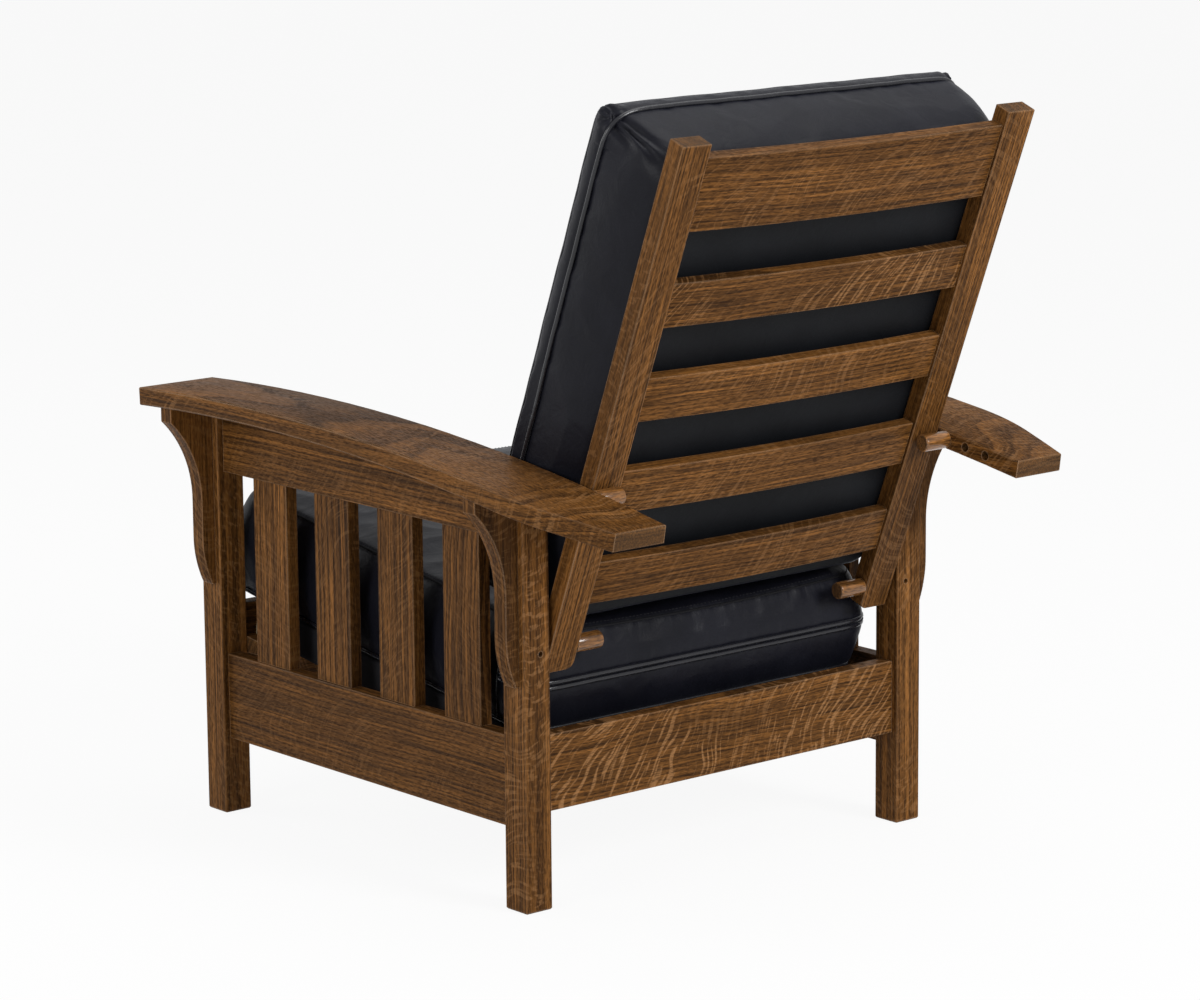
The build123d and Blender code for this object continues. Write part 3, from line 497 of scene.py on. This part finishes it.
def soften(piece, width):
    """Eases the arrises of a board, as sanding does."""
    weld = piece.modifiers.new("joined", "WELD")
    weld.merge_threshold = 1e-5
    ease = piece.modifiers.new("eased", "BEVEL")
    ease.width = width
    ease.segments = 2
    ease.limit_method = "ANGLE"
    ease.angle_limit = math.radians(40)
    ease.use_clamp_overlap = True


for name, piece in nodes.items():
    if name in grain:
        set_material(piece, grain[name])
        soften(piece, oak_arris)
    elif name.startswith("deck_member"):
        set_material(piece, raw_boards)
        soften(piece, board_arris)
    elif name in ("deck_springs", "deck_spring_clips"):
        set_material(piece, spring_steel)
    elif name.endswith("screws"):
        set_material(piece, screw_steel)


# mesh helpers
def make_piece(name, points, faces, *materials):
    mesh = bpy.data.meshes.new(name)
    mesh.from_pydata([tuple(p) for p in points], [], faces)
    mesh.update()
    piece = bpy.data.objects.new(name, mesh)
    scene.collection.objects.link(piece)
    set_material(piece, *materials)
    mesh.polygons.foreach_set("use_smooth", [True] * len(mesh.polygons))
    return piece


def coordinates(mesh):
    values = np.zeros(len(mesh.vertices) * 3)
    mesh.vertices.foreach_get("co", values)
    return values.reshape(-1, 3)


def put_coordinates(mesh, values):
    mesh.vertices.foreach_set("co", np.asarray(values, np.float32).ravel())
    mesh.update()


def normals_of(mesh):
    values = np.zeros(len(mesh.vertices) * 3)
    mesh.vertices.foreach_get("normal", values)
    return values.reshape(-1, 3)


def baked(piece):
    """Applies the piece's modifiers to its mesh."""
    bpy.context.view_layer.update()
    seen = piece.evaluated_get(bpy.context.evaluated_depsgraph_get())
    mesh = bpy.data.meshes.new_from_object(seen)
    old = piece.data
    piece.modifiers.clear()
    piece.data = mesh
    bpy.data.meshes.remove(old)
    mesh.name = piece.name
    mesh.polygons.foreach_set("use_smooth", [True] * len(mesh.polygons))
    return mesh


def rounded_outline(half_x, half_s, corner, arc=9, across=40):
    """Points round a rectangle with round corners, the same number for every size."""
    corner = min(corner, half_x * 0.98, half_s * 0.98)
    flat_x, flat_s = half_x - corner, half_s - corner
    points = []
    for turn, (cx, cs) in enumerate(((flat_x, flat_s), (-flat_x, flat_s), (-flat_x, -flat_s), (flat_x, -flat_s))):
        for i in range(arc + 1):
            angle = math.pi / 2 * (turn + i / arc)
            points.append((cx + corner * math.cos(angle), cs + corner * math.sin(angle)))
        last = points[-1]
        following = ((-flat_x, half_s), (-half_x, -flat_s), (flat_x, -half_s), (half_x, flat_s))[turn]
        for i in range(1, across):
            t = i / across
            points.append((last[0] * (1 - t) + following[0] * t, last[1] * (1 - t) + following[1] * t))
    return np.array(points)


class Local:
    """A frame of directions: x across the chair, s along the cushion, d through its thickness."""

    def __init__(self, origin, along_s, along_d):
        self.origin = np.array(origin, float)
        self.axes = np.array([(1.0, 0.0, 0.0), along_s, along_d])

    def out(self, points):
        return np.asarray(points) @ self.axes + self.origin

    def back(self, points):
        return (np.asarray(points) - self.origin) @ self.axes.T


deck = Local(deck_edge, deck_back, deck_up)
leaning = Local(pivot, up_back, out_back * (1.0 if out_back[1] < 0 else -1.0))


def loop(half_x, half_s, corner, middle, depth):
    """A closed seam line at one depth."""
    flat = rounded_outline(half_x, half_s, corner)
    return np.c_[flat[:, 0], flat[:, 1] + middle, np.full(len(flat), depth)]


def loft(name, rings, *materials, open_foot=False):
    """A skin over rings of the same number of points, closed at the top and, unless it is left open, the foot."""
    points = np.concatenate(rings)
    count = len(rings[0])
    faces = [] if open_foot else [tuple(reversed(range(count)))]
    for level in range(len(rings) - 1):
        low, high = level * count, (level + 1) * count
        for i in range(count):
            j = (i + 1) % count
            faces.append((low + i, low + j, high + j, high + i))
    top = (len(rings) - 1) * count
    faces.append(tuple(range(top, top + count)))
    return make_piece(name, points, faces, *materials)


def point_tree(points):
    tree = KDTree(len(points))
    for i, p in enumerate(points):
        tree.insert(p, i)
    tree.balance()
    return tree


def seam_tree(lines):
    """Looks up the nearest seam point, its distance and how far along its seam it lies."""
    points, runs = [], []
    for line, closed in lines:
        ends = np.roll(line, -1, axis=0) if closed else np.r_[line[1:], line[-1:]]
        steps = np.linalg.norm(ends - line, axis=1)
        travelled = np.r_[0, np.cumsum(steps)[:-1]]
        for p, q, run, step in zip(line, ends, travelled, steps):
            parts = max(1, int(step / 0.003))
            for k in range(parts):
                points.append(p + (q - p) * k / parts)
                runs.append(run + step * k / parts)
    return point_tree(points), np.array(runs)


def seam_reading(tree, runs, points):
    found = [tree.find(p) for p in points]
    return np.array([f[2] for f in found]), runs[[f[1] for f in found]]


def swell(piece, pinned):
    """Blows the shell up as cloth held at its seams and where it rests, and caps how far it moves."""
    group = piece.vertex_groups.new(name="held")
    for level in range(1, 11):
        chosen = np.nonzero((pinned > (level - 1) / 10) & (pinned <= level / 10))[0]
        if len(chosen):
            group.add([int(i) for i in chosen], level / 10, "REPLACE")
    start = coordinates(piece.data)
    cloth = piece.modifiers.new("cover", "CLOTH")
    settings = cloth.settings
    settings.quality = 3
    settings.mass = 0.35
    settings.tension_stiffness = 14
    settings.compression_stiffness = 14
    settings.shear_stiffness = 6
    settings.bending_stiffness = 1.2
    settings.use_pressure = True
    settings.uniform_pressure_force = swell_pressure
    settings.vertex_group_mass = "held"
    settings.effector_weights.gravity = 0
    cloth.collision_settings.use_collision = False
    cloth.point_cache.frame_start = 1
    cloth.point_cache.frame_end = swell_frames
    scene.frame_start, scene.frame_end = 1, swell_frames
    for number in range(1, swell_frames + 1):
        scene.frame_set(number)
    seen = piece.evaluated_get(bpy.context.evaluated_depsgraph_get())
    blown = coordinates(seen.data)
    piece.modifiers.clear()
    scene.frame_set(1)
    moved = blown - start
    length = np.linalg.norm(moved, axis=1, keepdims=True)
    share = swell_cap * np.tanh(length / swell_cap) / np.maximum(length, 1e-9)
    put_coordinates(piece.data, start + moved * share)


def refine(piece):
    """Evens the surface and divides it once."""
    smooth = piece.modifiers.new("even", "SMOOTH")
    smooth.factor = 0.5
    smooth.iterations = 4
    finer = piece.modifiers.new("finer", "SUBSURF")
    finer.levels = 1
    finer.render_levels = 1
    baked(piece)


def remesh(piece, size):
    voxels = piece.modifiers.new("voxels", "REMESH")
    voxels.mode = "VOXEL"
    voxels.voxel_size = size
    baked(piece)


def filled(piece, seams, voxel, rests):
    """Fills a cover that its seams hold, and that rests below a depth of its own. Gives its points,
    its normals, and how far each point lies from its seam and along it.
    """
    remesh(piece, voxel)
    tree, runs = seam_tree(seams)
    spots = coordinates(piece.data)
    away, _ = seam_reading(tree, runs, spots)
    resting = 1 - step_up(spots[:, 2], *rests)
    swell(piece, np.maximum(1 - step_up(away, 0.002, 0.012), resting))
    refine(piece)
    spots = coordinates(piece.data)
    return spots, normals_of(piece.data), *seam_reading(tree, runs, spots)


def waves(run, table):
    """A sum of sines of the way along a seam, for puckers that differ in width."""
    total = np.zeros_like(run)
    for per_metre, size, phase in table:
        total += size * np.sin(2 * math.pi * per_metre * run + phase)
    return total


def soft_noise(points, scale, offset):
    place = Vector(offset)
    return np.array([noise.noise(Vector(p) * scale + place) for p in points])


def crumpled(points, facing, away, pucker, bumps, creases, free, pleats=0.0):
    """Moves a cover's points in and out where it is free: a groove and puckers at its seams, and soft
    bumps and creases away from them. Those are a noise's scale, its place, its height and its reach.
    """
    groove = groove_depth * np.exp(-((away / groove_width) ** 2))
    scale, place, height, reach = bumps
    uneven = soft_noise(points, scale, place) * height * step_up(away, 0.0, reach)
    scale, place, height, reach = creases
    folds = -np.abs(soft_noise(points, scale, place)) * height * step_up(away, 0.004, reach)
    return points + facing * ((pucker + uneven + folds + pleats - groove) * free)[:, None]


def store(mesh, name, values):
    attribute = mesh.attributes.new(name, "FLOAT", "POINT")
    attribute.data.foreach_set("value", np.asarray(values, np.float32))


def laid(piece, place, points, away, run):
    """Puts a finished cover in its place, and gives its surface for the seams to lie on."""
    put_coordinates(piece.data, place.out(points))
    store(piece.data, "seam_distance", away)
    store(piece.data, "seam_run", run)
    mesh = piece.data
    return BVHTree.FromPolygons([v.co[:] for v in mesh.vertices], [p.vertices[:] for p in mesh.polygons])


def frames_along(path, normals, closed):
    """Side directions for a tube that follows a path on a surface."""
    if closed:
        ahead = np.roll(path, -1, axis=0) - np.roll(path, 1, axis=0)
    else:
        ahead = np.gradient(path, axis=0)
    ahead /= np.maximum(np.linalg.norm(ahead, axis=1, keepdims=True), 1e-9)
    out = normals - (normals * ahead).sum(1, keepdims=True) * ahead
    out /= np.maximum(np.linalg.norm(out, axis=1, keepdims=True), 1e-9)
    return ahead, out, np.cross(ahead, out)


def tube(name, path, normals, radius, closed, material, sides=10, flat=1.0, twist=0.0):
    """A cord along a path, its section an oval, with fine ridges where twist isn't 0."""
    _, out, side = frames_along(path, normals, closed)
    count = len(path)
    points = []
    for i in range(count):
        for k in range(sides):
            angle = 2 * math.pi * k / sides
            size = radius * (1 + twist * math.sin(3 * angle + i * 1.9))
            points.append(path[i] + out[i] * math.cos(angle) * size * flat + side[i] * math.sin(angle) * size)
    faces = []
    for i in range(count if closed else count - 1):
        j = (i + 1) % count
        for k in range(sides):
            m = (k + 1) % sides
            faces.append((i * sides + k, i * sides + m, j * sides + m, j * sides + k))
    if not closed:
        faces.append(tuple(reversed(range(sides))))
        faces.append(tuple((count - 1) * sides + k for k in range(sides)))
    return make_piece(name, points, faces, material)


def even_path(line, closed, step):
    """The line's points at even steps."""
    ends = np.r_[line, line[:1]] if closed else line
    travelled = np.r_[0, np.cumsum(np.linalg.norm(np.diff(ends, axis=0), axis=1))]
    count = max(4, int(round(travelled[-1] / step)))
    at = np.linspace(0, travelled[-1], count, endpoint=not closed)
    return np.c_[tuple(np.interp(at, travelled, ends[:, k]) for k in range(3))]


def on_surface(tree, line, raise_by, closed, smooth=10):
    """The line laid on a surface, with the surface's normals, evened along its length."""
    found = [tree.find_nearest(Vector(p)) for p in line]
    path = np.array([f[0] for f in found])
    normals = np.array([f[1] for f in found])
    for _ in range(smooth):
        if closed:
            path = (np.roll(path, 1, 0) + 2 * path + np.roll(path, -1, 0)) / 4
            normals = (np.roll(normals, 1, 0) + 2 * normals + np.roll(normals, -1, 0)) / 4
        else:
            inner = (path[:-2] + 2 * path[1:-1] + path[2:]) / 4
            path = np.r_[path[:1], inner, path[-1:]]
            inner = (normals[:-2] + 2 * normals[1:-1] + normals[2:]) / 4
            normals = np.r_[normals[:1], inner, normals[-1:]]
    normals /= np.linalg.norm(normals, axis=1, keepdims=True)
    return path + normals * raise_by, normals


def stitches(name, path, normals, closed, material, length=0.0042, every=0.0064, radius=0.00055):
    """A row of single stitches, each a short thread that dips into the leather at both ends."""
    line = even_path(path, closed, every)
    tree = point_tree(path)
    above = normals[[tree.find(p)[1] for p in line]]
    ahead, out, side = frames_along(line, above, closed)
    points, faces = [], []
    sides, rings = 6, 5
    for p, a, o, s in zip(line, ahead, out, side):
        base = len(points)
        for r in range(rings):
            t = r / (rings - 1) * 2 - 1
            centre = p + a * t * length / 2 + o * radius * (0.7 - 1.5 * t * t)
            size = radius * (1.0 - 0.45 * t * t)
            for k in range(sides):
                angle = 2 * math.pi * k / sides
                points.append(centre + o * math.cos(angle) * size + s * math.sin(angle) * size)
        for r in range(rings - 1):
            for k in range(sides):
                m = (k + 1) % sides
                low, high = base + r * sides, base + (r + 1) * sides
                faces.append((low + k, low + m, high + m, high + k))
    return make_piece(name, points, faces, material)


def step_up(value, low, high):
    t = np.clip((value - low) / (high - low), 0, 1)
    return t * t * (3 - 2 * t)


# seat cushion
def seat_loop(inset, depth):
    return loop(seat_half_width - inset, seat_half_depth - inset, seat_corner, seat_middle, depth)


def seat_rings():
    rings = []
    for i in range(6):
        angle = math.pi / 2 * i / 5
        inset = seat_seam_inset + 0.010 * (1 - math.sin(angle)) + 0.002
        rings.append(seat_loop(inset, seat_lift + 0.008 * (1 - math.cos(angle))))
    for i in range(1, 8):
        t = i / 8
        narrowing = (seat_top_inset - seat_seam_inset) * t**1.5
        inset = seat_seam_inset + 0.002 - 0.0125 * math.sin(math.pi * t) + narrowing
        rings.append(seat_loop(inset, seat_foot + (seat_top - seat_foot) * t))
    for i in range(9):
        angle = math.pi / 2 * i / 8
        inset = seat_top_inset + 0.002 + seat_reach * (1 - math.cos(angle))
        rings.append(seat_loop(inset, seat_top + (seat_crown - 0.004) * math.sin(angle)))
    return rings


def seat_sag(points):
    """How far the stuffing has settled at the rear, most in the middle of the top's rear edge."""
    from_rear = points[:, 1] - (seat_middle + seat_half_depth)
    share = 0.012 * np.exp(-((from_rear / 0.040) ** 2)) + 0.004 * np.exp(-((from_rear / 0.12) ** 2))
    return share * step_up(points[:, 2], 0.085, 0.150) * (1 - (points[:, 0] / 0.36) ** 2)


top_line = seat_loop(seat_top_inset, seat_top)
foot_line = seat_loop(seat_seam_inset, seat_foot)
side_lines = []
for sign in (1, -1):
    depths = np.linspace(seat_foot, seat_top, 24)
    side_lines.append(np.c_[np.full(24, sign * (seat_half_width - 0.002)), np.full(24, side_seam), depths])
half_way = (seat_foot + seat_top) / 2 - 0.004
around = seat_loop(0.001, half_way)
rear_part = around[around[:, 1] > side_seam]
order = np.argsort(np.arctan2(rear_part[:, 1] - side_seam + 0.02, rear_part[:, 0]))
zip_line = rear_part[order]

seat = loft("seat_cushion_leather", seat_rings(), hides)
closed_seams = [(line, True) for line in (top_line, foot_line)]
open_seams = [(line, False) for line in (*side_lines, zip_line)]
spots, facing, away, run = filled(seat, closed_seams + open_seams, 0.0062, (0.001, 0.006))
open_part = step_up(spots[:, 2], 0.002, 0.010)
sag = seat_sag(spots)
pucker = waves(run, [(17, 0.5, 0.3), (29, 0.35, 1.7), (43, 0.3, 2.9), (7, 0.5, 4.0)]) * 0.0007 * np.exp(-away / 0.020)
bumps = (7.5, (3.1, 0.4, 7.7), 0.0042, 0.05)
creases = (19.0, (9.4, 2.2, 1.3), 0.0022, 0.03)
spots = crumpled(spots, facing, away, pucker, bumps, creases, open_part)
spots[:, 2] -= sag
spots[:, 2] = np.maximum(spots[:, 2], seat_lift)
spots[:, 0] = np.clip(spots[:, 0], -seat_side_limit, seat_side_limit)
spots[:, 1] = np.clip(spots[:, 1], seat_front_limit, seat_rear_limit)
under_back = step_up(spots[:, 1], -0.17, -0.06)
spots[:, 2] = np.minimum(spots[:, 2], seat_top + 0.030 - 0.016 * under_back)
seat_surface = laid(seat, deck, spots, away, run)


def seat_seam(name, line, radius, closed, rise, material, flat=1.0, step=seam_step, twist=0.0):
    route = even_path(line, closed, step)
    route[:, 2] -= seat_sag(route)
    path, above = on_surface(seat_surface, deck.out(route), rise, closed)
    return tube(name, path, above, radius, closed, material, flat=flat, twist=twist), path, above


seat_pieces = [seat]
seat_top_seam, path, above = seat_seam("seat_top_seam", top_line, 0.0017, True, 0.0007, tape)
seat_pieces.append(seat_top_seam)
inner = even_path(seat_loop(seat_top_inset + 0.006, seat_top + 0.003), True, seam_step)
inner[:, 2] -= seat_sag(inner)
path, above = on_surface(seat_surface, deck.out(inner), 0.0, True)
seat_pieces.append(stitches("seat_top_stitches", path, above, True, thread))
piece, path, above = seat_seam("seat_lower_piping", foot_line, 0.0030, True, 0.0012, piping_hide)
seat_pieces.append(piece)
for sign, line in zip(("left", "right"), side_lines):
    piece, path, above = seat_seam(f"seat_side_seam_{sign}", line, 0.0017, False, 0.0002, piping_hide)
    seat_pieces.append(piece)
for label, rise in (("upper", 0.0046), ("lower", -0.0046)):
    lip = zip_line + np.array([0, 0, rise])
    piece, path, above = seat_seam(f"seat_zip_lip_{label}", lip, 0.0036, False, 0.0028, piping_hide, flat=0.95)
    seat_pieces.append(piece)
piece, path, above = seat_seam("seat_zip_tape", zip_line, 0.0046, False, 0.0, tape, flat=0.3)
seat_pieces.append(piece)
piece, path, above = seat_seam("seat_zip_coil", zip_line, 0.0012, False, 0.0014, tape, step=0.0016, twist=0.28)
seat_pieces.append(piece)
for piece in seat_pieces:
    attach(piece, "seat_rest_cushion")
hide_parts("seat_cushion")


# back cushion
def back_corner_at(depth):
    """The corners are round at the piping and nearly square at the front seam."""
    share = min(1.0, max(0.0, (depth - back_piping_depth) / (back_front_depth - back_piping_depth)))
    return back_corner * (1 - share) + back_front_corner * share


def back_loop(inset, corner, depth):
    return loop(back_half_width - inset, back_half_height - inset, corner, back_middle, depth)


def back_rings():
    rings = []
    reach = back_piping_depth - back_rear
    for i in range(13):
        angle = math.pi / 2 * i / 12
        inset = 0.002 + panel_inset * (1 - math.sin(angle) ** 0.85)
        rings.append(back_loop(inset, back_corner, back_rear + reach * (1 - math.cos(angle) ** 0.9)))
    for i in range(1, 6):
        t = i / 6
        inset = 0.002 + 0.003 * t - 0.003 * math.sin(math.pi * t)
        depth = back_piping_depth + (back_front_depth - back_piping_depth) * t
        rings.append(back_loop(inset, back_corner_at(depth), depth))
    for i in range(9):
        angle = math.pi / 2 * i / 8
        inset = 0.006 + back_reach * (1 - math.cos(angle))
        depth = back_front_depth + (back_crown - 0.004) * math.sin(angle)
        rings.append(back_loop(inset, back_front_corner, depth))
    return rings


half_sizes = (back_half_width + 0.001, back_half_height - 0.001)
piping_line = loop(*half_sizes, back_corner, back_middle, back_piping_depth)
front_line = back_loop(0.004, back_front_corner, back_front_depth + 0.004)
back = loft("back_cushion_leather", back_rings(), hides, matte_hide)
closed_seams = [(line, True) for line in (piping_line, front_line)]
rests = (back_rear + 0.004, back_rear + 0.022)
spots, facing, away, run = filled(back, closed_seams, 0.006, rests)
free = step_up(spots[:, 2], back_rear + 0.003, back_rear + 0.018)
pucker = waves(run, [(13, 0.5, 1.1), (23, 0.4, 0.2), (37, 0.3, 2.2), (5, 0.4, 3.3)]) * 0.0009 * np.exp(-away / 0.022)
bumps = (6.0, (1.7, 8.4, 2.6), 0.0048, 0.06)
creases = (15.0, (4.8, 1.9, 6.3), 0.0020, 0.04)
pleats = np.zeros(len(spots))
for sx in (1, -1):
    for ss in (1, -1):
        corner = np.array([sx * (back_half_width - 0.012), back_middle + ss * (back_half_height - 0.012)])
        flat = spots[:, :2] - corner
        near = np.exp(-(np.linalg.norm(flat, axis=1) / 0.040) ** 2)
        rise = spots[:, 2] - back_piping_depth
        turn = np.arctan2(flat[:, 1] * ss, flat[:, 0] * sx)
        behind = np.exp(-((rise + 0.020) / 0.045) ** 2)
        size = 0.0036 if ss > 0 else 0.0014
        pleats += near * behind * (size * np.cos(7.0 * turn + 38.0 * rise + sx) - 0.0012)
spots = crumpled(spots, facing, away, pucker, bumps, creases, free, pleats)
spots[:, 2] = np.maximum(spots[:, 2], back_rear + 0.0004)
between_arms = step_up(spots[:, 1], 0.02, 0.13) * (1 - step_up(spots[:, 1], 0.30, 0.50))
side_limit = back_side_limit - back_squeeze * between_arms
spots[:, 0] = np.clip(spots[:, 0], -side_limit, side_limit)
spots[:, 1] = np.clip(spots[:, 1], back_foot_limit, back_head_limit)
back_surface = laid(back, leaning, spots, away, run)
depths = leaning.back(coordinates(back.data))[:, 2]
for polygon in back.data.polygons:
    if depths[list(polygon.vertices)].mean() < back_rear + 0.0032:
        polygon.material_index = 1
back_pieces = [back]
back_seams = (("back_piping", piping_line, 0.0034, 0.0014), ("back_front_seam", front_line, 0.0016, 0.0003))
for name, line, radius, rise in back_seams:
    path, above = on_surface(back_surface, leaning.out(even_path(line, True, seam_step)), rise, True)
    back_pieces.append(tube(name, path, above, radius, True, piping_hide))
inner = back_loop(0.012, back_front_corner, back_front_depth + 0.010)
path, above = on_surface(back_surface, leaning.out(even_path(inner, True, seam_step)), 0.0, True)
back_pieces.append(stitches("back_front_stitches", path, above, True, thread))
for piece in back_pieces:
    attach(piece, "back_rest_cushion")
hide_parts("back_cushion")


# deck cover and pad
def deck_sheet():
    """The black cover: over the top, round the edges, down the sides and turned under."""
    round_edge = 0.005
    below_top = 0.0003
    section = [(cover_turned, -deck_height), (cover_turned / 2, -deck_height), (0.0005, -deck_height + 0.0006)]
    for i in range(1, 10):
        section.append((0.0, -deck_height + 0.002 + (deck_height - round_edge - 0.003) * i / 9))
    for i in range(7):
        angle = math.pi / 2 * i / 6
        section.append((round_edge * (1 - math.cos(angle)), -round_edge + round_edge * math.sin(angle) - below_top))
    rings = []
    for inset, depth in section:
        rings.append(loop(deck_half_width - inset, deck_depth / 2 - inset, deck_corner, -deck_depth / 2, depth))
    for share in (0.9, 0.75, 0.55, 0.35, 0.15, 0.02):
        half_x, half_s = (deck_half_width - round_edge) * share, (deck_depth / 2 - round_edge) * share
        flat = rounded_outline(half_x, half_s, deck_corner * share)
        over_springs = 1 + 0.22 * np.cos(flat[:, 0] * 2 * math.pi / spring_pitch)
        dip = -below_top - cover_dip * (1 - share**2) * over_springs
        rings.append(np.c_[flat[:, 0], flat[:, 1] - deck_depth / 2, dip])
    return loft("deck_cover_cloth", [deck.out(ring) for ring in rings], cover_cloth, open_foot=True)


cover = deck_sheet()
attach(cover, "base")
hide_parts("deck_cover")

pad_place = deck.back(coordinates(nodes["deck_pad"].data))
pad_low, pad_high = pad_place.min(0), pad_place.max(0)
pad_half = (pad_high - pad_low) / 2
pad_middle = (pad_high + pad_low) / 2
pad_rings = []
for i in range(9):
    angle = math.pi * i / 8
    inset = 0.0015 + 0.0035 * (1 - math.sin(angle))
    depth = pad_middle[2] - (pad_half[2] - 0.0008) * math.cos(angle)
    ring = rounded_outline(pad_half[0] - inset, pad_half[1] - inset, pad_corner)
    pad_rings.append(np.c_[ring[:, 0], ring[:, 1] + pad_middle[1], np.full(len(ring), depth)])
for share in (0.8, 0.5, 0.2):
    ring = rounded_outline(pad_half[0] * share, pad_half[1] * share, pad_corner * share)
    dip = pad_high[2] - 0.0010 - pad_dip * (1 - share**2)
    pad_rings.append(np.c_[ring[:, 0], ring[:, 1] + pad_middle[1], np.full(len(ring), dip)])
pad = loft("deck_pad_felt", pad_rings, pad_felt)
put_coordinates(pad.data, deck.out(coordinates(pad.data)))
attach(pad, "base")
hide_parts("deck_pad")


# floor, light and camera
def seen_rays(n):
    """The light path's outputs, and 1 for what the camera sees straight, in a gloss or through glass."""
    rays = n.node("ShaderNodeLightPath").outputs
    mirrored = n.math("MAXIMUM", rays["Is Glossy Ray"], rays["Is Transmission Ray"])
    return rays, n.math("MAXIMUM", rays["Is Camera Ray"], mirrored)


def studio_floor():
    count = 7
    steps = np.linspace(-floor_half, floor_half, count)
    points = [(x, y, 0.0) for y in steps for x in steps]
    starts = [r * count + c for r in range(count - 1) for c in range(count - 1)]
    faces = [(i, i + 1, i + count + 1, i + count) for i in starts]
    made, n, shader = new_material("pale_floor")
    n.fill(shader, {"Base Color": (0.82, 0.82, 0.82, 1), "Roughness": 0.9, "Specular IOR Level": 0.0})
    _, seen = seen_rays(n)
    glow = n.node("ShaderNodeEmission", {"Color": (1, 1, 1, 1), "Strength": 1.0})
    share = n.times(seen, floor_glow)
    blend = n.node("ShaderNodeMixShader", {0: share, 1: shader.outputs[0], 2: glow.outputs[0]})
    n.put(made.node_tree.nodes["Material Output"].inputs["Surface"], blend.outputs[0])
    floor = make_piece("studio_floor", points, faces, made)


studio_floor()
world = bpy.data.worlds.new("studio_world")
scene.world = world
world.use_nodes = True
n = Net(world.node_tree)
rays, seen = seen_rays(n)
lit = n.plus(n.times(seen, world_seen), world_light)
strength = n.plus(n.times(rays["Is Camera Ray"], 1.0 - world_seen - world_light), lit)
n.fill(world.node_tree.nodes["Background"], {"Color": (1, 1, 1, 1), "Strength": strength})


def lamp(name, place, target, size, watts):
    data = bpy.data.lights.new(name, "AREA")
    data.shape = "SQUARE"
    data.size = size
    data.energy = watts
    made = bpy.data.objects.new(name, data)
    made.location = place
    made.rotation_euler = (Vector(target) - Vector(place)).to_track_quat("-Z", "Y").to_euler()
    scene.collection.objects.link(made)


lamp("key_softbox", (-1.1, 5.2, 3.3), chair_middle, 1.9, 245.0)
lamp("fill_softbox", (4.6, 0.6, 2.0), chair_middle, 2.2, 70.0)
lamp("front_fill", (2.9, -4.3, 2.2), chair_middle, 2.4, 58.0)
lamp("top_softbox", (-0.6, 0.4, 4.2), (0, 0.1, 0.5), 2.6, 52.0)

azimuth, elevation, roll = (math.radians(angle) for angle in (camera_azimuth, camera_elevation, camera_roll))
level = math.cos(elevation)
ahead = Vector((math.cos(azimuth) * level, math.sin(azimuth) * level, math.sin(elevation)))
right = ahead.cross(Vector(Z)).normalized()
above = right.cross(ahead)
right_rolled = right * math.cos(roll) + above * math.sin(roll)
up_rolled = above * math.cos(roll) - right * math.sin(roll)
camera_data = bpy.data.cameras.new("photo_camera")
camera_data.sensor_fit = "HORIZONTAL"
camera_data.sensor_width = 36.0
camera_data.lens = camera_lens
camera_data.clip_end = 200.0
camera = bpy.data.objects.new("photo_camera", camera_data)
scene.collection.objects.link(camera)
turn = Matrix((right_rolled, up_rolled, -ahead)).transposed().to_4x4()
camera.matrix_world = Matrix.Translation(camera_place) @ turn
scene.camera = camera
scene.view_settings.view_transform = "Standard"
